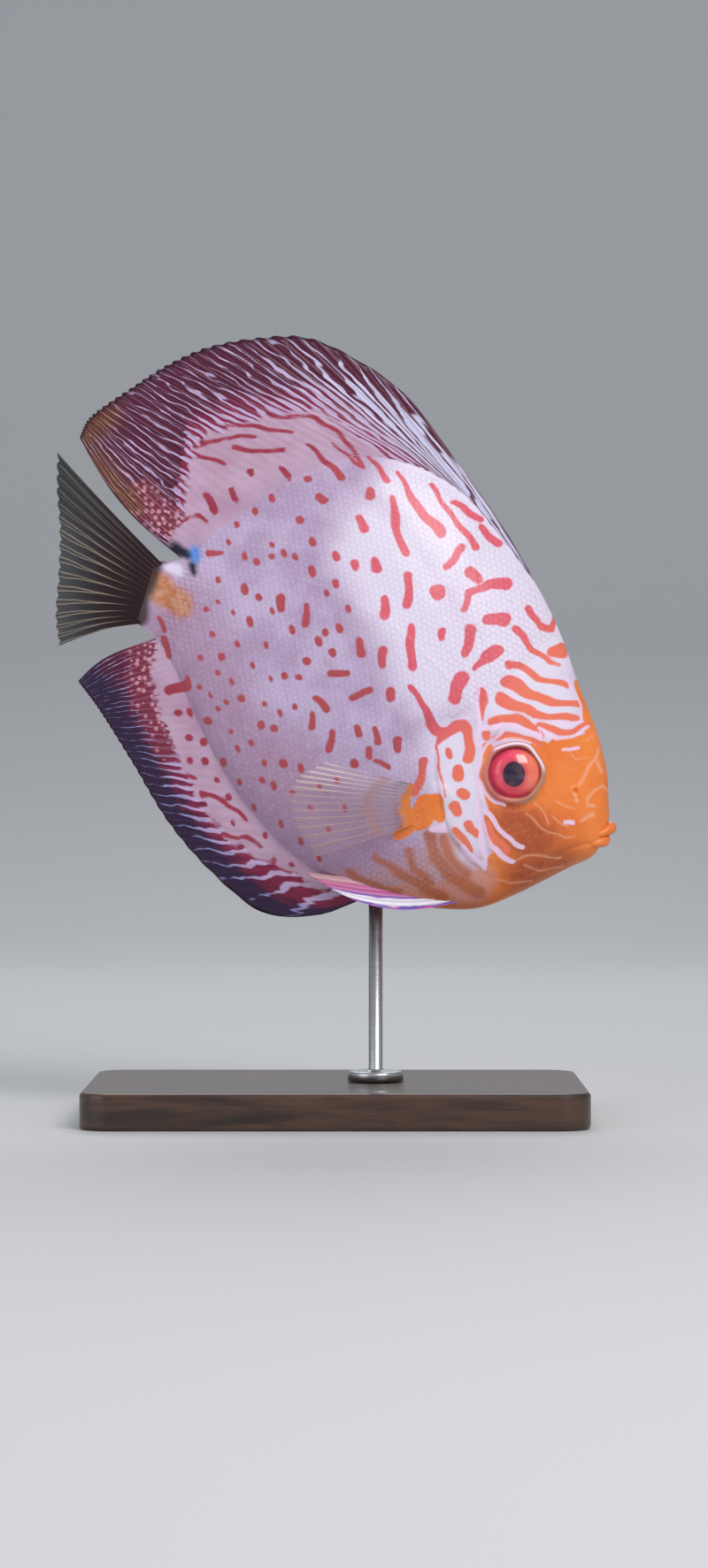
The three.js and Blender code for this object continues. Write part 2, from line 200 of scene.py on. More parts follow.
EYE = (-28.7, 3.8)
NOSTRIL = (-12.6, 5.2)
GILL_EDGE = [
    (-41.5, 14.5), (-46.4, 11.2), (-48.6, 6.0), (-48.4, 0.6), (-46.4, -4.0), (-43.4, -8.6),
    (-40.4, -13.0), (-36.6, -17.2), (-31.0, -20.2), (-24.5, -22.6),
]
CHEEK_EDGE = [(-37.5, 13.5), (-39.6, 7.0), (-38.2, 0.0), (-34.2, -6.4), (-31.0, -12.0), (-27.0, -17.4)]
JAW_LINE = [(-4.6, -5.6), (-8.6, -8.4), (-12.5, -14.5), (-17, -20)]
FIN_PAD = [(-43.5, -8.5), (-44.0, -12.0), (-42.0, -16.0)]
LATERAL_LINE = [
    (-41, 13.9), (-47.5, 17), (-54, 20), (-63, 24), (-71, 26.6), (-81, 27.8), (-91, 28.6), (-99, 28.4),
    (-104, 24), (-110, 18), (-118, 13.5), (-129, 12),
]


def smooth(value, low, high):
    """0 below low, 1 above high, and a smooth step between."""
    share = np.clip((value - low) / (high - low), 0, 1)
    return share * share * (3 - 2 * share)


def curve(points, along):
    """A smooth curve through points, read at shares of its length from 0 to 1."""
    points = np.array(points, float)
    ends = [2 * points[0] - points[1]], [2 * points[-1] - points[-2]]
    padded = np.concatenate([ends[0], points, ends[1]])
    place = np.clip(along, 0, 1) * (len(points) - 1)
    first = np.minimum(place.astype(int), len(points) - 2)
    part = (place - first)[..., None]
    a, b, c, d = (padded[first + i] for i in range(4))
    return b + 0.5 * part * (c - a + part * (2 * a - 5 * b + 4 * c - d + part * (3 * (b - c) + d - a)))


def to_line(x, z, points):
    """Distance from a line through points, and the side: positive on the line's left."""
    best = np.full(np.shape(x), 1e9)
    side = np.zeros(np.shape(x))
    for (x0, z0), (x1, z1) in zip(points[:-1], points[1:]):
        run = (x1 - x0, z1 - z0)
        share = np.clip(((x - x0) * run[0] + (z - z0) * run[1]) / (run[0] ** 2 + run[1] ** 2), 0, 1)
        away = np.hypot(x - x0 - share * run[0], z - z0 - share * run[1])
        turn = run[0] * (z - z0) - run[1] * (x - x0)
        side = np.where(away < best, np.sign(turn), side)
        best = np.minimum(best, away)
    return best, side


def ridge(distance, height, place, width):
    """A rounded ridge, or a groove where its height is below 0."""
    return height * np.exp(-((distance - place) / width) ** 2)


def sculpt(x, z):
    """Height of the skin's folds above the plain body: eye ring, gill cover, cheek, nostril, side line."""
    to_eye = np.hypot(x - EYE[0], z - EYE[1])
    ring = ridge(to_eye, 0.95, 7.0, 0.75) + ridge(to_eye, -0.35, 9.0, 0.8)
    socket = -4.2 * (1 - smooth(to_eye, 5.2, 6.5))
    away, side = to_line(x, z, GILL_EDGE)
    ahead = away * side
    ends = smooth(z, -24, -17) * (1 - smooth(z, 9, 15))
    flap = 0.55 * smooth(ahead, -0.15, 0.35) * np.exp(-np.maximum(ahead, 0) / 5)
    flap = (flap + ridge(ahead, -0.25, -0.5, 0.6)) * ends
    away, side = to_line(x, z, CHEEK_EDGE)
    cheek = ridge(away, -0.3, 0, 0.5) + ridge(away * side, 0.22, 1.4, 0.8)
    to_nostril = np.hypot(x - NOSTRIL[0], z - NOSTRIL[1])
    nostril = ridge(to_nostril, 0.28, 1.0, 0.4) + ridge(to_nostril, -0.9, 0, 0.55)
    side_line = ridge(to_line(x, z, LATERAL_LINE)[0], 0.1, 0, 0.45)
    jaw = ridge(to_line(x, z, JAW_LINE)[0], -0.3, 0, 0.6)
    muscle = 0.12 * np.sin(x * 0.33 + z * 0.2) * np.sin(z * 0.27 - x * 0.12) * smooth(-x, 45, 60)
    pad = 0.8 * (1 - smooth(to_line(x, z, FIN_PAD)[0], 1.0, 4.2))
    return ring + socket + flap + cheek + nostril + side_line + jaw + muscle + pad


def body_place(along, angle):
    """A point of the right or left flank: along from mouth to tail, angle from belly to back."""
    stations = curve(STATIONS, along)
    level = np.sin(angle)
    share = THICKEST + level * np.where(level > 0, 1 - THICKEST, THICKEST)
    x = stations[..., 2] + share * (stations[..., 0] - stations[..., 2])
    z = stations[..., 3] + share * (stations[..., 1] - stations[..., 3])
    sharpness = np.where(level > 0, BACK_SHARPNESS, BELLY_SHARPNESS)
    plain = (stations[..., 4] - COAT_DEPTH) * np.maximum(np.cos(angle), 0) ** sharpness
    dorsal = smooth(along, DORSAL_SPAN[0] - 0.03, DORSAL_SPAN[0] + 0.06) * smooth(level, 0, 0.3)
    anal = smooth(along, ANAL_SPAN[0] - 0.01, ANAL_SPAN[0] + 0.05) * smooth(-level, 0, 0.3)
    ridge = FIN_ROOT * np.maximum(dorsal, anal)
    half = (plain ** 3 + ridge ** 3) ** (1 / 3) + sculpt(x, z) * smooth(plain, 0.3, 4.5)
    return x, np.maximum(half, 0), z


def placed(x, y, z):
    """Fish millimetres as metres in the frame."""
    across = x * math.cos(PITCH) + z * math.sin(PITCH)
    up = z * math.cos(PITCH) - x * math.sin(PITCH)
    return np.stack([SNOUT[0] + across / 1000, y / 1000, SNOUT[1] + up / 1000], axis=-1)


def on_flank(share, angle):
    """How far the fin's own colours reach down the flank, as 0 to -1 from its root, and where they may."""
    near = np.clip(1 - (math.pi / 2 - np.abs(angle)) / FIN_COLOUR_TURN, 0, 1)
    near = near * smooth(share, *FIN_COLOUR_START)
    return near - 1, (near > 0) * (share < FIN_COLOUR_END)


def new_ball(sides, steps):
    """A ball of radius 1 as a bmesh, and the places of its vertices."""
    bm = bmesh.new()
    bmesh.ops.create_uvsphere(bm, u_segments=sides, v_segments=steps, radius=1)
    return bm, np.array([vert.co for vert in bm.verts])


# Each vertex of the ball has a step from mouth to tail and a step round the ring, which starts and ends
# at the belly fin's margin and passes the belly line, flank, back line and back fin's margin
bm, ball = new_ball(RING, COLUMNS)
step = np.round(np.arccos(np.clip(ball[:, 2], -1, 1)) / math.pi * COLUMNS)
turn = np.round(np.arctan2(ball[:, 1], ball[:, 0]) / (2 * math.pi) * RING) % RING
along = np.clip((step - 1) / (COLUMNS - 2), 0, 1)
half_ring = RING // 2
climb = np.where(turn <= half_ring, turn, RING - turn)
side = np.where(turn < half_ring, -1.0, 1.0)
side[(turn == 0) | (turn == half_ring)] = 0
pole = (step == 0) | (step == COLUMNS)
climb[pole] = ANAL_ROWS + BODY_ROWS / 2

level = 2 * np.clip((climb - ANAL_ROWS) / BODY_ROWS, 0, 1) - 1
angle = (EVEN_ROWS * level + (1 - EVEN_ROWS) * level ** 3) * math.pi / 2
x, half, z = body_place(along, angle)
half[pole] = 0
half *= 1 - TAIL_ROOT_TAPER * smooth(along, 0.96, 1.0)
mouth = 1 - smooth(along, 0.0, 0.028)
x -= MOUTH_TUCK * mouth * smooth(np.cos(angle), -0.2, 0.6)

fin_place = np.zeros((len(x), 3))
for margin, span, sweep, rows, rays, upper in (
    (DORSAL_MARGIN, DORSAL_SPAN, DORSAL_SWEEP, DORSAL_ROWS, RAYS["dorsal"], True),
    (ANAL_MARGIN, ANAL_SPAN, ANAL_SWEEP, ANAL_ROWS, RAYS["anal"], False),
):
    beyond = (climb - ANAL_ROWS - BODY_ROWS if upper else ANAL_ROWS - climb) / rows
    share = (along - span[0]) / (span[1] - span[0])
    inside = (share >= 0) & (share <= 1)
    lane = rays * np.maximum(share, 0) ** RAY_CROWDING
    notch = FIN_NOTCH * (0.5 - 0.5 * np.cos(2 * math.pi * lane)) * smooth(share, 0, 0.08)
    out = np.clip(beyond, 0, 1) * inside * (1 - notch)
    edge = curve(margin, np.clip(share, 0, 1) ** sweep)
    trailing = np.clip((share - BOW_FROM) / (1 - BOW_FROM), 0, 1) * np.sin(math.pi * out)
    bow = DORSAL_BOW if upper else ANAL_BOW
    x = x + out * (edge[:, 0] - x) - bow[0] * trailing
    z = z + out * (edge[:, 1] - z) - bow[1] * trailing
    web = FIN_MARGIN + (FIN_ROOT - FIN_MARGIN) * (1 - out) ** 1.6
    relief = RAY_RELIEF * np.cos(2 * math.pi * lane) * smooth(out, 0, 0.15)
    thin = smooth(share, -0.02, 0.03) * (1 - 0.75 * smooth(share, 0.985, 1.0))
    is_fin = (beyond > 0) & inside & ~pole
    half = np.where(is_fin, (web + relief) * thin, half)
    half = np.where((beyond > 0) & ~inside & ~pole, 0, half)
    flank_reach, present = on_flank(share, angle)
    reach = np.where(beyond > 0, out, flank_reach)
    chosen = (climb > ANAL_ROWS + BODY_ROWS / 2) == upper
    fin_place[chosen] = np.stack([lane + (0 if upper else ANAL_LANE), reach, present], axis=-1)[chosen]

corners = placed(x, half * side, z)
kept_step = bm.verts.layers.int.new("first_place")
for number, vert in enumerate(bm.verts):
    vert.co = corners[number]
    vert[kept_step] = number
bmesh.ops.remove_doubles(bm, verts=bm.verts, dist=2e-6)
bmesh.ops.dissolve_degenerate(bm, edges=bm.edges, dist=1e-6)
bmesh.ops.recalc_face_normals(bm, faces=bm.faces)
skin = object_from(bm, "skin")
kept = np.zeros(len(skin.data.vertices), int)
skin.data.attributes["first_place"].data.foreach_get("value", kept)
skin.data.attributes.remove(skin.data.attributes["first_place"])


# The markings
# Coral strokes on the nape, stripes over the brow, and brick spots on the flank, each a stroke with round
# ends; pale lines on the cheek and snout; and soft fields of orange, white and mauve. Their places were
# read from the photograph, in its pixels. The skin keeps, at every point, the distance from them.
STROKES = [
    # points, radius at the start, radius at the end
    ([(449, 535), (470, 575), (498, 604)], 2.5, 6.5),
    ([(487, 549), (508, 583), (536, 619)], 2.5, 4.5),
    ([(512, 569), (541, 588)], 3.5, 4.5),
    ([(543, 598), (562, 616)], 3.5, 5.5),
    ([(416, 516), (438, 545)], 2, 3.5),
    ([(346, 501), (387, 541)], 2, 4),
    ([(375, 500), (400, 522), (412, 530)], 1.5, 2.5),
    ([(444, 567), (447, 600), (457, 628)], 4.5, 5),
    ([(461, 653), (460, 686)], 5, 5),
    ([(463, 712), (464, 755)], 4.5, 5.5),
    ([(521, 622), (504, 643)], 4.5, 4),
    ([(571, 662), (550, 663), (530, 672), (522, 692)], 7, 3.5),
    ([(529, 650), (538, 655)], 7, 6),
    ([(549, 702), (568, 703)], 6.5, 8),
    ([(493, 670), (494, 676)], 8, 7),
    ([(498, 716), (498, 724)], 4, 4),
    ([(531, 714), (524, 742)], 7, 4.5),
    ([(560, 738), (548, 744)], 8, 8),
    ([(548, 744), (535, 758)], 6, 3),
    ([(520, 767), (511, 791)], 8, 7.5),
    ([(597, 690), (609, 710), (624, 712)], 4.5, 3.5),
    ([(624, 712), (626, 696)], 3.5, 3),
    ([(582, 712), (599, 735), (620, 749), (632, 752)], 4.5, 2),
    ([(622, 738), (634, 736)], 6, 8),
    ([(573, 753), (585, 753), (595, 761), (607, 768), (620, 771), (640, 775)], 4.4, 3.2),
    ([(572, 772), (585, 778), (597, 786), (612, 792)], 8.5, 5),
    ([(612, 792), (628, 795), (655, 797)], 5, 3.8),
    ([(563, 792), (577, 797), (590, 802), (603, 808)], 7.5, 5),
    ([(603, 808), (620, 811), (652, 812)], 4.8, 3.4),
    ([(553, 817), (565, 813), (580, 814)], 4.2, 6),
    ([(580, 814), (595, 819), (606, 826), (610, 834)], 6, 2.6),
    ([(608, 820), (620, 825), (632, 828), (646, 827), (662, 820)], 3.8, 3.8),
    ([(547, 829), (548, 836)], 4.5, 3.5),
    ([(556, 836), (570, 832), (583, 832), (597, 837), (608, 843)], 3.4, 3.0),
    ([(541, 784), (545, 796), (542, 814)], 6.5, 2.2),
    ([(463, 778), (480, 803), (485, 820)], 3.5, 5),
    ([(485, 820), (493, 827), (503, 828), (513, 823)], 5.5, 6.5),
    ([(513, 823), (521, 821), (527, 828), (529, 846), (527, 860)], 7, 5.5),
    ([(503, 830), (494, 841)], 5, 3),
    ([(491, 845), (494, 865), (499, 885), (501, 900)], 1.6, 1.2),
    ([(506, 851), (507, 854)], 4.4, 4.4),
    ([(515, 872), (515, 877)], 7, 7),
    ([(521, 896), (524, 900)], 6, 6),
    ([(511, 911), (514, 918)], 6.5, 5.5),
    ([(527, 930), (530, 938), (537, 943)], 4.6, 4.2),
    ([(514, 938), (520, 946), (529, 959)], 4.4, 4.4),
    ([(550, 932), (557, 948), (570, 960)], 3.5, 4.5),
    ([(478, 862), (474, 880), (469, 896)], 5, 4.5),
    ([(400, 790), (410, 783), (418, 782)], 4.5, 4),
    ([(448, 848), (449, 838)], 5, 5),
    ([(423, 826), (426, 838)], 3.5, 4.5),
    ([(403, 822), (406, 832)], 3.5, 3.5),
    ([(375, 830), (373, 848)], 4, 4),
    ([(353, 809), (353, 822)], 3.5, 4),
    ([(404, 588), (412, 600)], 4, 5),
    ([(362, 563), (367, 568)], 4.5, 5),
    ([(418, 556), (418, 563)], 5, 5),
    ([(318, 529), (327, 541)], 3, 4),
    ([(232, 558), (243, 578)], 3.5, 4.5),
    ([(236, 626), (251, 626)], 3.5, 3),
    ([(262, 555), (268, 566)], 3.5, 3.5),
    ([(375, 762), (392, 763)], 4.5, 4),
    ([(357, 790), (370, 803)], 3.5, 4),
    ([(418, 855), (418, 848)], 4, 4),
    ([(441, 783), (442, 790)], 5, 5),
    ([(407, 728), (408, 740)], 5, 5.5),
    ([(432, 738), (432, 752)], 5, 5),
    ([(434, 680), (434, 698)], 5, 5.5),
    ([(423, 636), (425, 646)], 5, 5.5),
    ([(318, 678), (320, 690)], 5, 4.5),
    ([(346, 688), (347, 708)], 3.5, 4),
    ([(190, 782), (211, 775)], 5, 6),
    ([(186, 720), (192, 742)], 3, 4),
    ([(180, 700), (186, 712)], 3, 3),
    ([(424, 861), (440, 868)], 2.5, 3),
]
FIN_STROKE_RADII = (2.8, 2.2)
FIN_STROKES = [
    [(355, 472), (385, 492), (410, 525)],
    [(220, 475), (285, 482), (330, 490)],
    [(195, 502), (220, 505), (255, 495), (288, 494)],
    [(215, 512), (255, 525)],
    [(302, 470), (355, 472)],
    [(262, 506), (300, 512), (322, 508)],
    [(207, 590), (222, 582), (235, 590)],
    [(227, 895), (255, 907), (280, 927)],
    [(197, 870), (222, 882)],
    [(215, 922), (242, 927)],
    [(235, 940), (270, 947)],
    [(275, 945), (295, 957)],
    [(297, 975), (335, 990)],
]
SPOTS = [
    # place, radius
    (283, 534, 4), (347, 541, 4), (308, 563, 4), (289, 578, 3.5), (267, 593, 3), (340, 589, 4.5),
    (276, 629, 3.5), (290, 636, 4), (307, 616, 3), (307, 631, 3), (320, 627, 3.5), (334, 630, 3.5),
    (353, 613, 4.5), (353, 647, 5), (380, 630, 5), (401, 641, 5), (380, 662, 4), (247, 656, 3),
    (276, 667, 5), (293, 676, 4), (246, 681, 2.5), (234, 690, 3), (264, 692, 2.5), (283, 704, 4.5),
    (384, 711, 4.5), (367, 716, 3.5), (383, 761, 3.5), (308, 691, 3), (214, 805, 4), (200, 805, 4),
    (236, 815, 4.5), (214, 834, 4), (230, 838, 4), (231, 860, 4.5), (253, 861, 4), (320, 862, 5),
    (341, 868, 4), (323, 764, 3.5), (337, 766, 3.5), (348, 748, 4.5), (252, 742, 4), (400, 862, 4.5),
    (330, 712, 4), (361, 726, 4.5), (376, 740, 4.5), (300, 730, 3), (270, 728, 3), (240, 716, 3),
    (226, 744, 3), (286, 752, 3), (306, 768, 2.5), (262, 770, 3), (272, 790, 4), (257, 794, 3),
    (300, 796, 3), (296, 820, 4), (310, 822, 4), (333, 798, 3), (318, 806, 3), (284, 838, 3),
    (270, 846, 3), (262, 826, 2.5), (246, 800, 3), (300, 862, 3), (296, 880, 3.5), (309, 888, 4),
    (332, 896, 3), (272, 884, 3), (258, 900, 3.5), (286, 912, 3), (361, 888, 3), (380, 880, 3),
    (352, 912, 3), (318, 930, 3), (300, 944, 3), (340, 950, 3), (390, 912, 3), (372, 936, 3),
    (280, 946, 3), (330, 976, 3), (244, 880, 3), (228, 898, 3), (262, 930, 3), (308, 972, 3),
    (360, 970, 3), (212, 768, 3.5), (246, 760, 3), (226, 776, 3), (238, 786, 2.5), (214, 858, 3.5),
    (258, 612, 3), (368, 672, 3), (392, 690, 3.5),
]
PALE_LINES = [
    ([(537, 775), (539, 818), (541, 850), (538, 880), (540, 930), (542, 955)], 2.4),
    ([(544, 823), (563, 822), (580, 822), (593, 826), (608, 834)], 3.0),
    ([(542, 853), (548, 845), (556, 836), (566, 829)], 1.8),
    ([(604, 814), (615, 817), (630, 818), (645, 818), (658, 816)], 1.8),
    ([(607, 824), (616, 831), (628, 835), (642, 834), (653, 829), (664, 823)], 2.0),
    ([(640, 768), (647, 782), (654, 797), (657, 812)], 1.3),
    ([(540, 882), (545, 895), (557, 906), (568, 911)], 2.0),
    ([(541, 911), (550, 920), (560, 932), (570, 945), (580, 953), (590, 957)], 2.7),
    ([(542, 924), (545, 940), (552, 955), (563, 965), (577, 973)], 3.0),
    ([(543, 955), (547, 970), (545, 981)], 2.6),
    ([(521, 958), (532, 968), (543, 978)], 3.4),
    ([(487, 938), (502, 936)], 3.8),
    ([(634, 849), (643, 849), (652, 846)], 1.7),
    ([(636, 930), (646, 931)], 2.4),
]
FAINT_LINES = [
    ([(653, 887), (657, 878), (663, 870), (670, 860), (675, 847)], 2.0),
    ([(670, 912), (662, 912), (663, 903), (670, 892), (680, 889), (685, 895)], 1.7),
    ([(647, 897), (650, 905)], 2.4),
    ([(673, 863), (680, 872)], 1.8),
    ([(655, 928), (662, 922), (669, 920)], 2.0),
    ([(593, 920), (608, 933), (620, 942), (637, 946), (647, 944)], 0.9),
    ([(577, 973), (590, 968), (613, 967), (632, 969)], 1.1),
    ([(623, 922), (632, 932), (638, 935)], 1.0),
    ([(627, 907), (637, 910), (647, 914)], 0.9),
    ([(643, 853), (650, 858), (663, 857)], 0.9),
    ([(600, 905), (612, 920), (618, 930)], 0.8),
    ([(660, 838), (672, 832)], 0.9),
    ([(556, 993), (575, 998), (600, 995)], 1.0),
    ([(590, 978), (612, 984), (635, 980)], 0.9),
]
FIELDS = dict(
    warm=[
        ([(654, 772), (662, 800), (672, 832)], 3, 10), ([(632, 855), (665, 857)], 20, 24),
        ([(672, 832), (684, 870), (692, 905), (696, 940)], 10, 8),
        ([(692, 950), (655, 972), (600, 1000)], 9, 12), ([(640, 890), (676, 930)], 34, 26),
        ([(600, 925), (650, 945)], 36, 30), ([(572, 935), (600, 975)], 27, 34),
        ([(556, 905), (575, 930)], 7, 20), ([(549, 848), (547, 880), (553, 900)], 5, 6),
        ([(565, 985), (600, 990)], 20, 20), ([(440, 1012), (500, 1014), (560, 1004)], 10, 24),
        ([(585, 880), (610, 860)], 26, 20), ([(481, 912), (473, 925)], 12, 12),
        ([(468, 928), (449, 943)], 7, 4), ([(491, 906), (496, 924)], 7, 5),
    ],
    # pale: the nape and upper flank whiter, partly the skin's own paleness and partly painted light
    pale=[
        ([(490, 560), (560, 650), (600, 720)], 55, 55), ([(560, 760), (610, 800)], 50, 40),
        ([(515, 850), (525, 950)], 26, 18), ([(430, 620), (500, 760)], 40, 40),
    ],
    dusk=[
        ([(200, 700), (260, 850), (360, 980)], 36, 40), ([(330, 500), (240, 560)], 20, 24),
        ([(300, 900), (430, 990)], 60, 40),
    ],
    throat=[
        ([(365, 1008), (430, 1003), (500, 985), (530, 995)], 12, 22),
        ([(505, 958), (480, 978)], 14, 14),
    ],
    brown=[
        ([(485, 945), (492, 970), (512, 992), (540, 1008)], 6, 6.5),
        ([(500, 945), (506, 967), (526, 988)], 4, 4.5), ([(450, 985), (477, 1001), (500, 1014)], 4, 5),
        ([(425, 968), (447, 984)], 2.5, 3), ([(395, 986), (420, 1000), (450, 1008)], 3, 3),
        ([(461, 962), (468, 982), (486, 997)], 3, 3.5), ([(372, 992), (392, 1002)], 2.5, 3),
        ([(350, 990), (366, 998)], 2, 2.5),
    ],
    umber=[([(575, 925), (600, 950)], 14, 22), ([(590, 985), (630, 970)], 14, 10)],
    tan=[([(176, 662), (205, 684)], 14, 12)],
    amber=[([(95, 485), (118, 470)], 12, 10), ([(108, 520), (150, 572)], 5, 4)],
    speckle=[([(163, 728), (168, 790), (192, 842)], 15, 12), ([(160, 566), (196, 596)], 18, 12)],
    ink=[([(198, 619), (214, 629)], 5, 4), ([(219, 640), (221, 648)], 3, 2)],
    blue=[([(219, 622), (221, 632)], 3.5, 3.5)],
    smoke=[([(176, 642), (163, 672), (158, 700)], 6, 7), ([(182, 634), (190, 630)], 2, 2)],
    # painted highlight: a white-lavender patch on the top of the tail root
    pearl=[([(189, 640), (201, 646)], 4, 5)],
)
SOFTNESS = dict(
    brown=1.1, throat=4.0, warm=1.3, ink=1.2, blue=1.2, amber=5.0, speckle=3.0, tan=2.0, umber=6.0, smoke=1.7,
    pearl=1.2,
)
STREAKS_BEGIN = dict(
    dorsal=[
        (500, 600), (462, 556), (430, 512), (392, 484), (355, 463), (310, 470), (262, 480), (222, 500),
        (214, 545), (207, 587), (188, 618),
    ],
    anal=[
        (178, 712), (172, 755), (176, 790), (190, 830), (206, 866), (222, 902), (252, 942), (284, 966),
        (330, 990), (367, 1004), (418, 1012),
    ],
)
MARK_JITTER = 0.25
LEFT_SHIFT = 1.2
FAR = 10.0


def seen(pixel):
    """A point of the photograph as x and z of the fish."""
    right = (pixel[0] - PHOTO_SNOUT[0]) * MM_PER_PIXEL
    up = (PHOTO_SNOUT[1] - pixel[1]) * MM_PER_PIXEL
    return right * math.cos(PITCH) - up * math.sin(PITCH), right * math.sin(PITCH) + up * math.cos(PITCH)


def to_strokes(x, z, strokes):
    """Distance in millimetres outside the nearest stroke, below 0 inside it, and at most FAR."""
    best = np.full(np.shape(x), FAR)
    for points, start, end in strokes:
        count = len(points) - 1
        for number in range(count):
            (x0, z0), (x1, z1) = seen(points[number]), seen(points[number + 1])
            run = (x1 - x0 + 1e-6, z1 - z0)
            reach = math.hypot(*run) / 2 + max(start, end) * MM_PER_PIXEL + FAR
            off_x, off_z = np.abs(x - x0 - run[0] / 2), np.abs(z - z0 - run[1] / 2)
            near = np.flatnonzero((off_x < reach) & (off_z < reach))
            off_x, off_z = x[near] - x0, z[near] - z0
            share = np.clip((off_x * run[0] + off_z * run[1]) / (run[0] ** 2 + run[1] ** 2), 0, 1)
            radius = (start + (end - start) * (number + share) / count) * MM_PER_PIXEL
            away = np.hypot(off_x - share * run[0], off_z - share * run[1]) - radius
            best[near] = np.minimum(best[near], away)
    return best


def markings(x, z, side):
    """The distances and fields that the skin's material reads; the two sides differ a little."""
    sway = np.where(side > 0, LEFT_SHIFT, 0.0)
    x = x + MARK_JITTER * np.sin(z * 0.9 + x * 0.3) + sway * np.sin(z * 0.21)
    z = z + MARK_JITTER * np.sin(x * 0.8 - z * 0.4) + sway * np.cos(x * 0.19)
    marks = STROKES + [(points, *FIN_STROKE_RADII) for points in FIN_STROKES]
    marks += [([(px, py), (px + 1, py + 2)], radius, radius) for px, py, radius in SPOTS]
    found = dict(
        mark=to_strokes(x, z, marks),
        pale_line=to_strokes(x, z, [(points, width, width) for points, width in PALE_LINES]),
        faint_line=to_strokes(x, z, [(points, width, width) for points, width in FAINT_LINES]),
        eye_right=(x - EYE[0]) * math.cos(PITCH) + (z - EYE[1]) * math.sin(PITCH),
        eye_up=(z - EYE[1]) * math.cos(PITCH) - (x - EYE[0]) * math.sin(PITCH),
    )
    for field, strokes in FIELDS.items():
        soft = SOFTNESS.get(field, 9.0)
        found[field] = 1 - smooth(to_strokes(x, z, strokes), -0.4 * soft, soft)
    for fin, pixels in STREAKS_BEGIN.items():
        away, side = to_line(x, z, [seen(pixel) for pixel in pixels])
        found[fin] = np.clip(-away * side, -20, 40)
    return found


def keep(mesh, name, values):
    """Stores one value or vector for each vertex of a mesh."""
    kind, key = ("FLOAT_VECTOR", "vector") if np.ndim(values) == 2 else ("FLOAT", "value")
    layer = mesh.attributes.new(name, kind, "POINT")
    layer.data.foreach_set(key, np.ascontiguousarray(values, np.float32).ravel())


for name, values in markings(x[kept], z[kept], side[kept]).items():
    keep(skin.data, name, values)
keep(skin.data, "fin_place", fin_place[kept])


# The skin's material
# Wet, slightly pearly skin. The flank is lavender, near white on the nape, partly painted light, and mauve
# below and behind, with brick and coral marks; the face is orange; the long fins are maroon with pale streaks
# along the rays.
class Nodes:
    """Adds and links the nodes of one tree."""

    def __init__(self, tree):
        self.tree = tree

    def add(self, kind, inputs=None, **settings):
        node = self.tree.nodes.new(kind)
        for key, value in settings.items():
            setattr(node, key, value)
        for key, value in (inputs or {}).items():
            self.put(node, key, value)
        return node

    def put(self, node, key, value):
        if isinstance(value, bpy.types.NodeSocket):
            self.tree.links.new(value, node.inputs[key])
        elif isinstance(value, tuple) and len(value) == 3 and node.inputs[key].type == "RGBA":
            node.inputs[key].default_value = (*value, 1)
        else:
            node.inputs[key].default_value = value

    def kept(self, name, output="Fac"):
        return self.add("ShaderNodeAttribute", attribute_name=name).outputs[output]

    def maths(self, operation, *values):
        return self.add("ShaderNodeMath", dict(enumerate(values)), operation=operation).outputs[0]

    def times(self, first, second):
        return self.maths("MULTIPLY", first, second)

    def plus(self, first, second):
        return self.maths("ADD", first, second)

    def minus(self, first, second):
        return self.maths("SUBTRACT", first, second)

    def larger(self, first, second):
        return self.maths("MAXIMUM", first, second)

    def absolute(self, value):
        return self.maths("ABSOLUTE", value)

    def fraction(self, value):
        return self.maths("FRACT", value)

    def length(self, across, up):
        return self.maths("SQRT", self.plus(self.times(across, across), self.times(up, up)))

    def swing(self, value, width):
        """A noise from 0 to 1 made to swing evenly about 0."""
        return self.times(self.minus(value, 0.5), width)

    def ramp(self, value, low, high):
        """0 to 1, smoothly, as value goes from low to high; low may be the larger."""
        inputs = {"Value": value, "From Min": low, "From Max": high}
        return self.add("ShaderNodeMapRange", inputs, interpolation_type="SMOOTHSTEP").outputs["Result"]

    def mix(self, share, below, above):
        node = self.add("ShaderNodeMix", {0: share}, data_type="RGBA")
        self.put(node, 6, below)
        self.put(node, 7, above)
        return node.outputs[2]

    def tint(self, share, strength, below, above):
        """Mixes above over below, at most at the given strength."""
        return self.mix(self.times(share, strength), below, above)

    def noise(self, place, scale, detail=2.0, roughness=0.5, distortion=0.0):
        inputs = dict(Vector=place, Scale=scale, Detail=detail, Roughness=roughness, Distortion=distortion)
        return self.add("ShaderNodeTexNoise", inputs).outputs["Fac"]

    def here(self, **mapping):
        """Object coordinates, turned and stretched."""
        place = self.add("ShaderNodeTexCoord").outputs["Object"]
        return self.add("ShaderNodeMapping", {"Vector": place, **mapping}).outputs["Vector"]

    def stretched(self, place, scale):
        return self.add("ShaderNodeMapping", {"Vector": place, "Scale": scale}).outputs["Vector"]

    def parts(self, vector):
        node = self.add("ShaderNodeSeparateXYZ", {"Vector": vector})
        return node.outputs[0], node.outputs[1], node.outputs[2]

    def bump(self, height, strength, distance, normal=None):
        inputs = {"Height": height, "Strength": strength, "Distance": distance}
        if normal:
            inputs["Normal"] = normal
        return self.add("ShaderNodeBump", inputs).outputs["Normal"]


skin_material, tree, shader = plain_material("wet_skin", (0.6, 0.45, 0.6), 0.36)
n = Nodes(tree)
here = n.here()
blotch = n.noise(here, 90, 3)
fine = n.noise(here, 700, 3, 0.6)

lavender = n.mix(n.ramp(blotch, 0.35, 0.65), (0.47, 0.34, 0.52), (0.58, 0.46, 0.66))
# the pale field whitens the nape and upper flank: partly the skin's own paleness, partly painted light
lavender = n.tint(n.kept("pale"), 0.85, lavender, (0.86, 0.79, 0.94))
lavender = n.tint(n.kept("dusk"), 0.7, lavender, (0.43, 0.24, 0.37))
lavender = n.tint(n.ramp(fine, 0.45, 0.75), 0.15, lavender, (0.76, 0.68, 0.90))

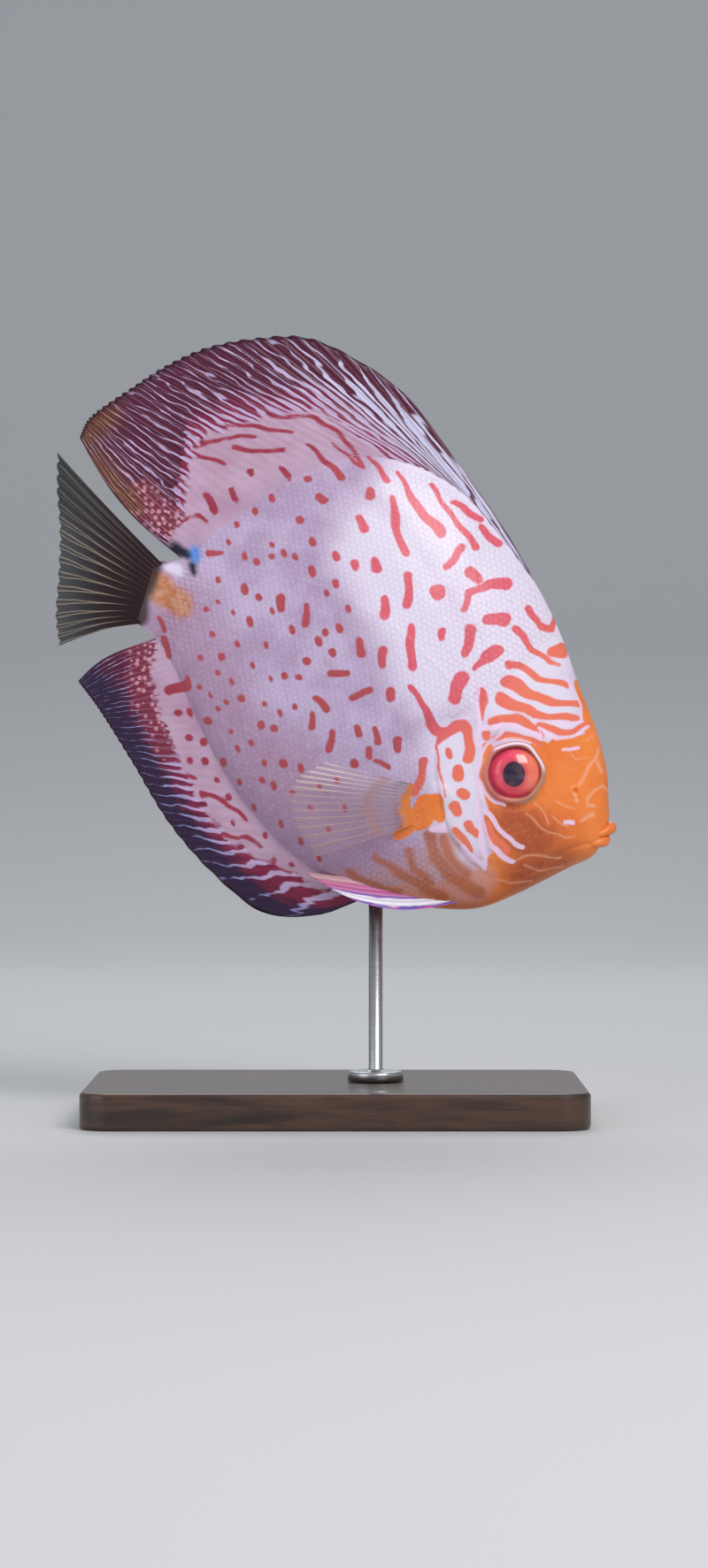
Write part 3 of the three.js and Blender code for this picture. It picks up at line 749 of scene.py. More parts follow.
# orange ground of the face: coral on the brow, red-brown on the cheek, with pale lines
orange = n.mix(n.ramp(blotch, 0.3, 0.7), (0.84, 0.195, 0.035), (0.92, 0.25, 0.05))
orange = n.tint(n.kept("umber"), 0.85, orange, (0.38, 0.062, 0.024))
orange = n.tint(n.ramp(fine, 0.4, 0.75), 0.18, orange, (0.95, 0.36, 0.12))
wander = n.swing(fine, 0.3)
on_line = n.ramp(n.plus(n.kept("pale_line"), wander), 0.2, -0.2)
on_faint = n.ramp(n.plus(n.kept("faint_line"), wander), 0.3, -0.3)
orange = n.tint(on_faint, 0.6, orange, (0.95, 0.45, 0.28))
warm_edge = n.plus(n.kept("warm"), n.swing(blotch, 0.15))
warm = n.ramp(warm_edge, 0.3, 0.7)
ground = n.mix(warm, lavender, orange)
tan_patch = n.mix(n.ramp(n.noise(here, 420, 2), 0.4, 0.62), (0.52, 0.17, 0.04), (0.62, 0.30, 0.16))
ground = n.tint(n.kept("tan"), 0.9, ground, tan_patch)
# painted highlight on the top of the tail root, a white-lavender patch
ground = n.tint(n.kept("pearl"), 0.8, ground, (0.82, 0.74, 0.95))
ground = n.tint(n.kept("smoke"), 0.93, ground, (0.030, 0.009, 0.010))

# the throat and belly edge are tan, with soft brown strokes
ground = n.tint(n.kept("throat"), 0.7, ground, (0.62, 0.36, 0.36))
ground = n.tint(n.kept("brown"), 0.85, ground, (0.52, 0.15, 0.065))

# the marks: brick on the flank, coral on the nape, lighter there partly as painted light, orange-red on the
# brow
brick = n.mix(n.kept("pale"), (0.47, 0.075, 0.09), (0.78, 0.13, 0.18))
ahead, _, height = n.parts(here)
on_brow = n.ramp(n.minus(height, n.times(1.2, ahead)), 0.075, 0.045)
brick = n.mix(on_brow, brick, (0.87, 0.195, 0.115))
mark = n.plus(n.kept("mark"), n.swing(fine, 0.35))
on_mark = n.ramp(mark, 0.25, -0.25)
body_colour = n.mix(on_mark, ground, brick)
body_colour = n.tint(on_line, 0.92, body_colour, (0.90, 0.66, 0.88))

# the ring of skin round the eye: coral, greyer in front, with a painted highlight, a thin white band over the
# top
eye_right, eye_up = n.kept("eye_right"), n.kept("eye_up")
from_eye = n.length(eye_right, eye_up)
ring_colour = n.mix(n.ramp(eye_right, -3.0, 5.0), (0.66, 0.20, 0.15), (0.52, 0.25, 0.14))
ring_colour = n.mix(n.ramp(from_eye, 6.75, 6.35), ring_colour, (0.33, 0.06, 0.10))
# painted highlight: a thin white band along the ring's crest, on its upper front side
slope = n.maths("DIVIDE", n.plus(eye_up, n.times(eye_right, 0.45)), from_eye)
off_highlight_arc = n.absolute(n.minus(from_eye, 7.35))
painted_highlight_arc = n.times(n.ramp(slope, 0.35, 0.6), n.ramp(off_highlight_arc, 0.42, 0.2))
ring_colour = n.mix(painted_highlight_arc, ring_colour, (0.95, 0.74, 0.95))
body_colour = n.mix(n.ramp(from_eye, 8.1, 7.75), body_colour, ring_colour)

# the long fins: x counts rays, y is 0 at the flesh and 1 at the margin, below 0 on the flesh. Each fin
# keeps its distance in millimetres beyond the line where its streaks begin
fin = n.kept("fin_place", "Vector")
ray, reach, present = n.parts(fin)
beyond = n.larger(n.kept("dorsal"), n.kept("anal"))
is_anal = n.ramp(ray, 60, 70)
swirl = n.noise(n.stretched(fin, (0.5, 4.0, 1.0)), 1.0, 2, 0.5)
sway = n.swing(swirl, n.minus(2.6, n.times(is_anal, 1.3)))
lane = n.plus(n.times(ray, 1.15), sway)
broken = n.noise(n.stretched(fin, (1.3, 7.0, 1.0)), 1.0, 2, 0.6)
deviation = n.minus(broken, 0.5)
ragged = n.plus(beyond, n.times(deviation, 7.0))
off_lane = n.absolute(n.minus(n.fraction(lane), 0.5))
front = n.ramp(ray, 11.0, 3.5)
# pale streaks: thin beside the margin, and wide enough to leave only maroon lines where they begin
width = n.plus(0.09, n.times(n.ramp(ragged, 8.0, 0.5), 0.17))
width = n.plus(width, n.times(deviation, 0.45))
width = n.plus(width, n.times(n.times(front, n.ramp(reach, 0.95, 0.6)), 0.24))
width = n.minus(width, n.times(is_anal, 0.05))
width = n.minus(width, n.times(n.ramp(reach, 0.6, 0.95), 0.04))
on_streak = n.ramp(n.minus(width, off_lane), -0.06, 0.06)
web = n.mix(n.ramp(ragged, 1.0, 9.0), (0.24, 0.014, 0.06), (0.085, 0.005, 0.032))
pale_streak = n.mix(front, (0.60, 0.46, 0.72), (0.66, 0.64, 0.88))
fin_colour = n.tint(on_streak, 0.85, web, pale_streak)
navy = n.times(is_anal, n.ramp(n.plus(reach, n.times(deviation, 0.5)), 0.5, 0.8))
navy_streak = n.times(on_streak, 0.75)
fin_colour = n.mix(navy, fin_colour, n.mix(navy_streak, (0.024, 0.008, 0.042), (0.36, 0.34, 0.70)))
dots = n.add("ShaderNodeTexVoronoi", {"Vector": here, "Scale": 620.0, "Randomness": 0.55}).outputs["Distance"]
dotted = n.mix(n.ramp(dots, 0.42, 0.3), (0.20, 0.022, 0.05), (0.62, 0.27, 0.33))
fin_colour = n.tint(n.kept("speckle"), 0.9, fin_colour, dotted)
amber = n.mix(on_streak, (0.125, 0.032, 0.015), (0.38, 0.18, 0.09))
fin_colour = n.mix(n.kept("amber"), fin_colour, amber)
margin = n.ramp(reach, 0.93, 1.0)
fin_colour = n.tint(margin, 0.75, fin_colour, (0.05, 0.008, 0.025))
# inside that line the fin's root is mauve flesh, with marks like those of the flank
mauve = n.mix(n.ramp(blotch, 0.3, 0.7), (0.47, 0.28, 0.40), (0.56, 0.38, 0.52))
root_share = n.times(n.ramp(reach, -0.2, 0.15), n.ramp(present, 0.4, 0.9))
mauve = n.mix(front, mauve, (0.80, 0.68, 0.86))
body_colour = n.mix(root_share, body_colour, n.mix(on_mark, mauve, (0.34, 0.035, 0.07)))
fin_share = n.times(n.ramp(ragged, -0.7, 0.7), n.ramp(present, 0.4, 0.9))
fin_share = n.times(fin_share, n.ramp(reach, -0.16, 0.0))
colour = n.mix(fin_share, body_colour, fin_colour)
# painted shade: each scale is darker towards its rim and down its skirt, between the scales
painted_rim_shade = n.times(n.ramp(n.kept("scale_rim"), 0.6, 1.0), 0.3)
colour = n.mix(painted_rim_shade, colour, n.mix(0.5, colour, (0.12, 0.07, 0.13)))
colour = n.mix(n.kept("ink"), colour, (0.012, 0.01, 0.025))
colour = n.mix(n.kept("blue"), colour, (0.11, 0.30, 0.75))
n.put(shader, "Base Color", colour)

# small scales on the face and fin roots, ray relief and the pores of the skin, as bump
pore = n.add("ShaderNodeTexVoronoi", {"Vector": here, "Scale": 900.0}, feature="SMOOTH_F1")
n.put(shader, "Roughness", n.plus(0.3, n.times(fine, 0.16)))
relief = n.bump(pore.outputs["Distance"], 0.18, 0.0003)
ray_relief = n.times(n.maths("COSINE", n.times(ray, 4 * math.pi)), fin_share)
relief = n.bump(ray_relief, 0.25, 0.0003, relief)
n.put(shader, "Normal", relief)
shader.inputs["Coat Weight"].default_value = 0.18
shader.inputs["Coat Roughness"].default_value = 0.2
shader.inputs["Specular IOR Level"].default_value = 0.3

skin.data.materials.append(skin_material)
FLESH = [
    "head", "trunk", "caudal_peduncle", "gill_cover_left", "gill_cover_right", "dorsal_fin_spines",
    "dorsal_fin_rays", "anal_fin_spines", "anal_fin_rays",
]
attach(skin, "root")
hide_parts(*FLESH)


# The lips
# Two soft rolls of skin bent round the front of the jaws, each a ball drawn out along the jaw's curve.
# Each path gives half of a lip, as x, y and z in the fish's frame, from its corner to the middle.
LIPS = {
    "upper_jaw": dict(
        path=[(-6.4, 2.9, -5.0), (-3.6, 3.7, -2.9), (-1.4, 2.6, -0.5), (-0.7, 0, 0.1)], up=1.7, deep=1.6,
    ),
    "lower_jaw": dict(
        path=[(-6.4, 2.7, -6.4), (-3.6, 3.5, -5.0), (-1.7, 2.5, -3.7), (-1.2, 0, -3.2)], up=1.8, deep=1.8,
    ),
}
LIP_SIDES, LIP_STEPS = 24, 72
LIP_TAPER = 0.35
UNMARKED = dict(mark=9.0, pale_line=9.0, faint_line=9.0, warm=1.0, dorsal=-9.0, anal=-9.0, eye_right=30.0)


def set_places(bm, places):
    """Moves each vertex of a bmesh to its place and turns the faces outwards."""
    for vert, place in zip(bm.verts, places):
        vert.co = place
    bmesh.ops.recalc_face_normals(bm, faces=bm.faces)


for node, lip in LIPS.items():
    bm, ball = new_ball(LIP_SIDES, LIP_STEPS)
    share = np.arccos(np.clip(ball[:, 2], -1, 1)) / math.pi
    path = lip["path"] + [(px, -py, pz) for px, py, pz in reversed(lip["path"][:-1])]
    ahead = curve(path, np.minimum(share + 0.01, 1)) - curve(path, np.maximum(share - 0.01, 0))
    out = np.stack([-ahead[:, 1], ahead[:, 0], 0 * share], axis=-1)
    out = out / np.linalg.norm(out, axis=1)[:, None]
    fat = np.sin(np.clip(share * math.pi, 0.0, math.pi)) ** LIP_TAPER
    round_turn = np.arctan2(ball[:, 1], ball[:, 0])
    lips = curve(path, share) + out * (np.cos(round_turn) * fat * lip["deep"])[:, None]
    lips[:, 2] += np.sin(round_turn) * fat * lip["up"]
    set_places(bm, placed(*lips.T))
    roll = object_from(bm, node.replace("jaw", "lip"), skin_material)
    blank = np.zeros(len(lips))
    for name, value in UNMARKED.items():
        keep(roll.data, name, blank + value)
    keep(roll.data, "fin_place", np.stack([blank, blank - 1, blank], axis=-1))
    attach(roll, "root")
    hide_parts(node)


# The scales
# Small thin overlapping scales over the flank, nape and tail root, each a low dome whose rear edge stands
# just clear of the next one. They carry the skin's own markings. The bake map puts each scale on a patch of
# the flank unrolled from mouth to tail and from belly to back, the right side below the left.
SCALE_PITCH = (1.5, 1.3)
SCALE_SIZE = 1.28
SCALE_SHAPE = (0.95, 0.78)
SCALE_LIFT = 0.16
SCALE_SKIRT = 0.12
SCALE_DOME = 0.05
SCALE_SIDES = 8
ROW_BEND = 6
PLACE_SPREAD = (0.08, 0.06)
BAKE_PATCH = 0.003
HEAD_LINE = [
    (-27, 50), (-37, 25), (-42.5, 15), (-49.5, 8), (-49.5, 0), (-46.5, -7), (-40, -17), (-30, -24),
    (-24, -40),
]
SEARCH_STEP, SPREAD_STEP = 1e-4, 1e-3


def flank_slopes(along, angle, step_size):
    """Points of the flank, and how far they move for a small step along and for a small step of angle."""
    start = np.stack(body_place(along, angle), axis=-1)
    ahead = np.stack(body_place(along + step_size, angle), axis=-1) - start
    above = np.stack(body_place(along, angle + step_size), axis=-1) - start
    return start, ahead, above


def inverse_place(x, z):
    """Finds along and angle for points of the flank, from a coarse table and then by small corrections."""
    table_along, table_angle = np.meshgrid(np.linspace(0.02, 0.98, 90), np.linspace(-1.5, 1.5, 70))
    table_x, _, table_z = body_place(table_along.ravel(), table_angle.ravel())
    near = np.array([np.argmin((table_x - px) ** 2 + (table_z - pz) ** 2) for px, pz in zip(x, z)])
    along, angle = table_along.ravel()[near], table_angle.ravel()[near]
    for _ in range(8):
        start, ahead, above = flank_slopes(along, angle, SEARCH_STEP)
        a, b, c, d = (run / SEARCH_STEP for run in (ahead[:, 0], above[:, 0], ahead[:, 2], above[:, 2]))
        off_x, off_z = x - start[:, 0], z - start[:, 2]
        area = a * d - b * c
        area = np.where(np.abs(area) < 1e-3, 1e-3, area)
        along = np.clip(along + np.clip((off_x * d - off_z * b) / area, -0.03, 0.03), 0.01, 0.99)
        angle = np.clip(angle + np.clip((off_z * a - off_x * c) / area, -0.2, 0.2), -1.54, 1.54)
    x0, _, z0 = body_place(along, angle)
    return along, angle, np.hypot(x - x0, z - z0)


rows, places = np.meshgrid(
    np.arange(-46, 70, SCALE_PITCH[1]), np.arange(-124, -20, SCALE_PITCH[0]), indexing="ij",
)
places = places + (np.round(rows / SCALE_PITCH[1]) % 2) * SCALE_PITCH[0] / 2
rng = np.random.default_rng(7)
scale_x = (places + rng.normal(0, PLACE_SPREAD[0], places.shape)).ravel()
scale_z = (rows + ROW_BEND * np.sin((places + 129) / 40) + rng.normal(0, PLACE_SPREAD[1], rows.shape)).ravel()
away, behind = to_line(scale_x, scale_z, HEAD_LINE)
chosen = away * behind < -1.2
scale_x, scale_z = scale_x[chosen], scale_z[chosen]
scale_along, scale_angle, miss = inverse_place(scale_x, scale_z)
away, _ = to_line(scale_x, scale_z, FIN_PAD)
chosen = (miss < 0.3) & (np.abs(scale_angle) < 1.32) & (away > 3.2)
scale_x, scale_along, scale_angle = (v[chosen] for v in (scale_x, scale_along, scale_angle))

# One scale: a middle point, a rim and a skirt that goes down under the skin
bm = bmesh.new()
bmesh.ops.create_circle(bm, cap_ends=True, cap_tris=True, radius=1, segments=SCALE_SIDES)
bmesh.ops.subdivide_edges(bm, edges=[edge for edge in bm.edges if not edge.is_boundary], cuts=1)
bmesh.ops.triangulate(bm, faces=bm.faces)
rim = [edge for edge in bm.edges if edge.is_boundary]
drawn = bmesh.ops.extrude_edge_only(bm, edges=rim)["geom"]
for vert in (part for part in drawn if isinstance(part, bmesh.types.BMVert)):
    vert.co = (vert.co.x * 1.04, vert.co.y * 1.04, -1)
bm.verts.index_update()
one = np.array([vert.co for vert in bm.verts])
one_faces = [[vert.index for vert in face.verts] for face in bm.faces]
bm.free()
skirt = one[:, 2] < -0.5
from_middle = np.hypot(one[:, 0], one[:, 1])
on_rim = (from_middle > 0.9) & ~skirt
rearward = np.clip(one[:, 0] * 0.5 + 0.5, 0, 1)
lift = SCALE_LIFT * (0.12 + 0.88 * rearward) * ~skirt - SCALE_SKIRT * skirt
lift += SCALE_DOME * (from_middle < 0.1)

# Every scale laid on the flank: smaller behind the gill cover and on the tail root
grow = SCALE_SIZE * (0.82 + 0.18 * smooth(-scale_x, 40, 70)) * (1 - 0.35 * smooth(-scale_x, 112, 126))
local_x = -one[None, :, 0] * grow[:, None] * SCALE_SHAPE[0]
local_z = one[None, :, 1] * grow[:, None] * SCALE_SHAPE[1]
_, ahead, above = flank_slopes(scale_along, scale_angle, SPREAD_STEP)
a, b, c, d = (run[:, None] for run in (ahead[:, 0], above[:, 0], ahead[:, 2], above[:, 2]))
along_at = scale_along[:, None] + SPREAD_STEP * (local_x * d - local_z * b) / (a * d - b * c)
angle_at = scale_angle[:, None] + SPREAD_STEP * (local_z * a - local_x * c) / (a * d - b * c)
at_x, at_y, at_z = body_place(along_at, np.clip(angle_at, -1.56, 1.56))
normal = np.cross(ahead, above)
normal /= np.linalg.norm(normal, axis=1)[:, None]
normal *= np.sign(normal[:, 1:2])
spot = (np.stack([at_x, at_y, at_z], axis=-1) + normal[:, None, :] * lift[None, :, None]).reshape(-1, 3)

# What each scale keeps of the long fin that its colours may reach from
upper = (scale_angle > 0)[:, None]
first, last = (np.where(upper, DORSAL_SPAN[end], ANAL_SPAN[end]) for end in (0, 1))
share = (along_at - first) / (last - first)
lane = np.where(upper, RAYS["dorsal"], RAYS["anal"]) * np.maximum(share, 0) ** RAY_CROWDING
flank_reach, present = on_flank(share, angle_at)
scale_fin = np.stack([lane + np.where(upper, 0, ANAL_LANE), flank_reach, present], axis=-1).reshape(-1, 3)

for name, sign in (("scales_right", -1.0), ("scales_left", 1.0)):
    turned = [face if sign > 0 else face[::-1] for face in one_faces]
    starts = range(0, len(spot), len(one))
    mesh = bpy.data.meshes.new(name)
    mesh.from_pydata(
        placed(spot[:, 0], spot[:, 1] * sign, spot[:, 2]), [],
        [[index + start for index in face] for start in starts for face in turned],
    )
    mesh.shade_smooth()
    ends = np.zeros(2 * len(mesh.edges), int)
    mesh.edges.foreach_get("vertices", ends)
    sharp = mesh.attributes.new("sharp_edge", "BOOLEAN", "EDGE")
    sharp.data.foreach_set("value", on_rim[ends.reshape(-1, 2) % len(one)].all(axis=1))
    coat = bpy.data.objects.new(name, mesh)
    bpy.context.collection.objects.link(coat)
    mesh.materials.append(skin_material)
    for key, values in markings(at_x.ravel(), at_z.ravel(), np.full(at_x.size, sign)).items():
        keep(mesh, key, values)
    keep(mesh, "fin_place", scale_fin)
    keep(mesh, "scale_rim", np.tile(np.where(skirt, 1.0, from_middle), len(scale_x)))
    bake = mesh.uv_layers.new(name="OFBake")
    centre_u = 0.02 + 0.96 * scale_along
    centre_v = 0.25 + 0.23 * scale_angle / (math.pi / 2) + (0.5 if sign > 0 else 0)
    uv = np.stack([centre_u, centre_v], axis=-1)[:, None, :] + one[None, :, :2] * BAKE_PATCH / 2
    loops = np.zeros(len(mesh.loops), int)
    mesh.loops.foreach_get("vertex_index", loops)
    bake.data.foreach_set("uv", uv.reshape(-1, 2)[loops].astype(np.float32).ravel())
    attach(coat, "root")


# The eyes
# A clear-skinned ball in a ring of skin: a dark pupil and a red iris with fine spokes.
# Sizes are in millimetres; depth is how far the ball's middle stands from the middle of the head.
EYE_BALL = dict(radius=7.1, half=4.2, depth=9.2)
EYE_GRID = (64, 40)
PUPIL = dict(offset=(0.1, -0.4), radius=(2.77, 3.15))

eye_material, tree, shader = plain_material("wet_eye", (0.7, 0.05, 0.08), 0.12)
n = Nodes(tree)
centre = placed(EYE[0], 0.0, EYE[1])
here = n.here(Location=tuple(-float(v) for v in centre))
across, _, up = n.parts(here)
radius = n.times(n.length(across, up), 1000.0)
pupil = placed(EYE[0] + PUPIL["offset"][0], 0.0, EYE[1] + PUPIL["offset"][1])
pupil_across, _, pupil_up = n.parts(n.here(Location=tuple(-float(v) for v in pupil)))
in_pupil = n.length(
    n.times(pupil_across, 1000.0 / PUPIL["radius"][0]), n.times(pupil_up, 1000.0 / PUPIL["radius"][1]),
)
turn = n.maths("ARCTAN2", up, across)
spokes_at = n.add("ShaderNodeCombineXYZ", {0: n.times(turn, 9.0), 1: n.times(radius, 0.5)})
spokes = n.noise(spokes_at.outputs[0], 2.0, 3, 0.6)
cloud = n.noise(here, 300, 2)
iris = n.mix(n.ramp(spokes, 0.35, 0.7), (0.88, 0.06, 0.14), (0.95, 0.11, 0.17))
iris = n.mix(n.ramp(across, -0.001, 0.0055), iris, (0.90, 0.20, 0.11))
iris = n.tint(n.ramp(up, -0.002, -0.006), 0.7, iris, (0.66, 0.025, 0.06))
iris = n.tint(n.ramp(in_pupil, 1.45, 1.1), 0.6, iris, (0.62, 0.05, 0.07))
colour = n.mix(n.ramp(in_pupil, 1.06, 0.94), iris, (0.018, 0.004, 0.035))
n.put(shader, "Base Color", n.tint(n.ramp(cloud, 0.4, 0.8), 0.1, colour, (0.9, 0.5, 0.5)))
shader.inputs["Coat Weight"].default_value = 0.3
shader.inputs["Coat Roughness"].default_value = 0.03

for name, sign in (("eye_right", -1.0), ("eye_left", 1.0)):
    bm, ball = new_ball(*EYE_GRID)
    set_places(bm, placed(
        EYE[0] + ball[:, 0] * EYE_BALL["radius"],
        sign * (EYE_BALL["depth"] + ball[:, 2] * EYE_BALL["half"]),
        EYE[1] + ball[:, 1] * EYE_BALL["radius"],
    ))
    eye = object_from(bm, name.replace("eye", "eyeball"), eye_material)
    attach(eye, "root")
    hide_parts(name)


# The tail fin
# A fan of branching rays in smoky see-through skin, blackish brown at its root. Its root lies inside the
# end of the body. Half thicknesses are what the margin has, what the root adds and what a ray adds.
CAUDAL_ROOT = [(-127, 18.4), (-128, 16), (-128.4, 13), (-128.4, 10), (-128, 7), (-127, 4.6)]
CAUDAL_MARGIN = [(-164.6, 35.6), (-161, 26.5), (-156.6, 17.4), (-153, 7.6), (-149.6, -2.6), (-146, -9.2)]
CAUDAL_RAYS = 15
CAUDAL_GRID = (210, 44)
CAUDAL_HALF = (0.2, 1.15, 0.16)
CAUDAL_NOTCH = 0.022
NOTCHES_BEGIN = 0.9


def drawn_fin(share, out, root, margin, rays, notch):
    """Points from a fin's root to its margin, their shares out with the notches, and how near a ray."""
    on_ray = np.abs(np.cos(math.pi * rays * share))
    out = out * (1 - notch * (1 - on_ray) * (out > NOTCHES_BEGIN))
    first, last = curve(root, share), curve(margin, share)
    return first + (last - first) * out[:, None], out, on_ray


def membrane(name, grid, place, material, rays, sign=1.0):
    """A thin closed fin: place gives fish x, y, z for shares across and out along the rays, and the side."""
    bm = bmesh.new()
    bmesh.ops.create_grid(bm, x_segments=grid[0], y_segments=grid[1], size=0.5)
    bmesh.ops.solidify(bm, geom=bm.verts[:] + bm.edges[:] + bm.faces[:], thickness=1.0)
    flat = np.array([vert.co for vert in bm.verts])
    share, out = flat[:, 0] + 0.5, flat[:, 1] + 0.5
    side = np.where(np.abs(flat[:, 2]) < 0.5, 1.0, -1.0)
    fin_x, fin_y, fin_z = place(share, out, side)
    set_places(bm, placed(fin_x, sign * fin_y, fin_z))
    made = object_from(bm, name, material)
    keep(made.data, "fin_place", np.stack([share * rays, out, side], axis=-1))
    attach(made, "root")
    return made


def caudal_place(share, out, side):
    bow = np.sin(math.pi * out)
    spot, out, on_ray = drawn_fin(share, out, CAUDAL_ROOT, CAUDAL_MARGIN, CAUDAL_RAYS, CAUDAL_NOTCH)
    lift = bow * (1.4 * share ** 2 - 0.3 * (1 - share) ** 2)
    margin, root, ray = CAUDAL_HALF
    half = margin + root * (1 - out) ** 1.5 + ray * (on_ray - 0.5) * smooth(out, 0.12, 0.45)
    return spot[:, 0], side * half, spot[:, 1] + lift


# The small fins' materials share one group: where a point lies among the rays, which waver a little
RAY_INPUTS = dict(Place="NodeSocketVector", Stretch="NodeSocketVector", Sway="NodeSocketFloat")
RAY_OUTPUTS = ("Ray", "Out", "Waver", "Lane", "Off")
fin_rays = bpy.data.node_groups.new("fin_rays", "ShaderNodeTree")
for name, kind in RAY_INPUTS.items():
    fin_rays.interface.new_socket(name, in_out="INPUT", socket_type=kind)
for name in RAY_OUTPUTS:
    fin_rays.interface.new_socket(name, in_out="OUTPUT", socket_type="NodeSocketFloat")
n = Nodes(fin_rays)
given = n.add("NodeGroupInput").outputs
ray, out, _ = n.parts(given["Place"])
waver = n.noise(n.stretched(given["Place"], given["Stretch"]), 1.0, 2, 0.5)
lane = n.plus(ray, n.swing(waver, given["Sway"]))
off = n.absolute(n.minus(n.fraction(n.plus(lane, 0.5)), 0.5))
n.add("NodeGroupOutput", dict(zip(RAY_OUTPUTS, (ray, out, waver, lane, off))))


def place_rays(n, stretch, sway):
    """That group in a material: ray number, share out, waver, wavering lane and distance off its line."""
    inputs = {"Place": n.kept("fin_place", "Vector"), "Stretch": stretch, "Sway": sway}
    group = n.add("ShaderNodeGroup", inputs, node_tree=fin_rays)
    return [group.outputs[name] for name in RAY_OUTPUTS]


tail_material, tree, shader = plain_material("smoky_fin", (0.1, 0.08, 0.09), 0.35)
n = Nodes(tree)
ray, out, waver, _, off = place_rays(n, (0.6, 3.0, 0.0), 0.35)
# each ray splits in two towards the margin, and the upper ones are hidden in darker skin
off_fork = n.absolute(n.minus(off, n.times(n.ramp(out, 0.35, 1.0), 0.17)))
line = n.times(n.ramp(off_fork, 0.06, 0.02), n.ramp(n.plus(out, n.times(waver, 0.3)), 0.36, 0.62))
smoke = n.mix(n.ramp(out, 0.35, 0.95), (0.019, 0.006, 0.008), (0.036, 0.037, 0.041))
smoke = n.tint(n.ramp(out, 0.16, 0.02), 0.5, smoke, (0.06, 0.017, 0.011))
upper = n.ramp(ray, 6.0, 2.5)
line = n.times(line, n.minus(1.0, n.times(upper, 0.8)))
n.put(shader, "Base Color", n.tint(line, 0.6, smoke, (0.47, 0.37, 0.28)))
clear = n.times(n.ramp(out, 0.45, 1.0), 0.35)
clear = n.times(clear, n.minus(1.0, n.larger(line, n.times(upper, 0.7))))
n.put(shader, "Alpha", n.minus(1.0, clear))
n.put(shader, "Normal", n.bump(n.ramp(off_fork, 0.12, 0.0), 0.3, 0.0003))
shader.inputs["Coat Weight"].default_value = 0.1
shader.inputs["Specular IOR Level"].default_value = 0.25
tail = membrane("tail_fin", CAUDAL_GRID, caudal_place, tail_material, CAUDAL_RAYS)
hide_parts("caudal_fin")


# The breast fins
# Clear fans of fine rays that spring from a fleshy orange lobe behind each gill cover. Each bows outwards
# and waves a little.
PECTORAL_ROOT = [(-47.4, 11.2, -7.6), (-47.9, 11.0, -10.6), (-47.4, 10.8, -13.8), (-45.9, 10.2, -16.8)]
PECTORAL_MARGIN = [(-73.5, 20.3, -11.6), (-78.2, 22.3, -19), (-75.8, 21.8, -27), (-66.5, 19.3, -34.0)]
PECTORAL_RAYS = 13
PECTORAL_GRID = (130, 30)
PECTORAL_HALF = (0.14, 1.5, 0.14)
PECTORAL_NOTCH = 0.03
PECTORAL_BOW, PECTORAL_WAVE = 1.6, 0.25


def pectoral_place(share, out, side):
    spot, out, on_ray = drawn_fin(share, out, PECTORAL_ROOT, PECTORAL_MARGIN, PECTORAL_RAYS, PECTORAL_NOTCH)
    spot[:, 1] += PECTORAL_BOW * np.sin(math.pi * out) + PECTORAL_WAVE * np.sin(share * 9) * out
    margin, root, ray = PECTORAL_HALF
    half = margin + root * (1 - out) ** 5 + ray * (on_ray - 0.4) * smooth(out, 0.1, 0.3)
    return spot[:, 0], spot[:, 1] + side * half, spot[:, 2]


clear_material, tree, shader = plain_material("clear_fin", (0.6, 0.45, 0.4), 0.3)
n = Nodes(tree)
ray, out, waver, _, off = place_rays(n, (0.5, 2.0, 0.0), 0.5)
line = n.ramp(n.absolute(n.minus(off, n.times(n.ramp(out, 0.5, 1.0), 0.12))), 0.1, 0.03)
lobe = n.ramp(n.plus(out, n.swing(waver, 0.12)), 0.2, 0.1)
band = n.times(n.ramp(out, 0.32, 0.36), n.ramp(out, 0.46, 0.41))
ray_colour = n.mix(n.ramp(ray, 3.0, 7.0), (0.85, 0.72, 0.62), (0.42, 0.26, 0.24))
colour = n.tint(line, 0.9, (0.50, 0.36, 0.44), ray_colour)
colour = n.tint(band, 0.5, colour, (0.50, 0.20, 0.10))
n.put(shader, "Base Color", n.mix(lobe, colour, (0.72, 0.20, 0.03)))
web = n.plus(n.times(n.ramp(out, 0.75, 0.2), 0.12), 0.07)
cover = n.larger(n.plus(n.times(line, 0.6), web), n.larger(lobe, n.times(band, 0.3)))
n.put(shader, "Alpha", cover)
n.put(shader, "Normal", n.bump(line, 0.3, 0.0003))

for name, sign in (("right", -1.0), ("left", 1.0)):
    fan = membrane("breast_fin_" + name, PECTORAL_GRID, pectoral_place, clear_material, PECTORAL_RAYS, sign)
    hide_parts("pectoral_fin_" + name)


# The belly fins
# A pair of narrow fins folded back under the belly: a white leading edge, a violet line and magenta webs.
# They sag a little between root and tip.
PELVIC_ROOT = [(-28.2, 2.9, -30.6), (-31, 3.3, -30.2), (-34.6, 3.8, -29.9)]
PELVIC_MARGIN = [(-54, 4.7, -40.6), (-61, 4.4, -39.9), (-67.5, 4.1, -38.7)]
PELVIC_RAYS = 6
PELVIC_GRID = (60, 60)
PELVIC_HALF = (0.16, 0.9, 0.12)
PELVIC_SAG = 2.6


def pelvic_place(share, out, side):
    spot, out, on_ray = drawn_fin(share, out, PELVIC_ROOT, PELVIC_MARGIN, PELVIC_RAYS, 0)
    spot[:, 2] -= PELVIC_SAG * np.sin(math.pi * out) * (1 - share)
    margin, root, ray = PELVIC_HALF
    half = margin + root * (1 - out) ** 2 + ray * on_ray
    return spot[:, 0], spot[:, 1] + side * half, spot[:, 2]


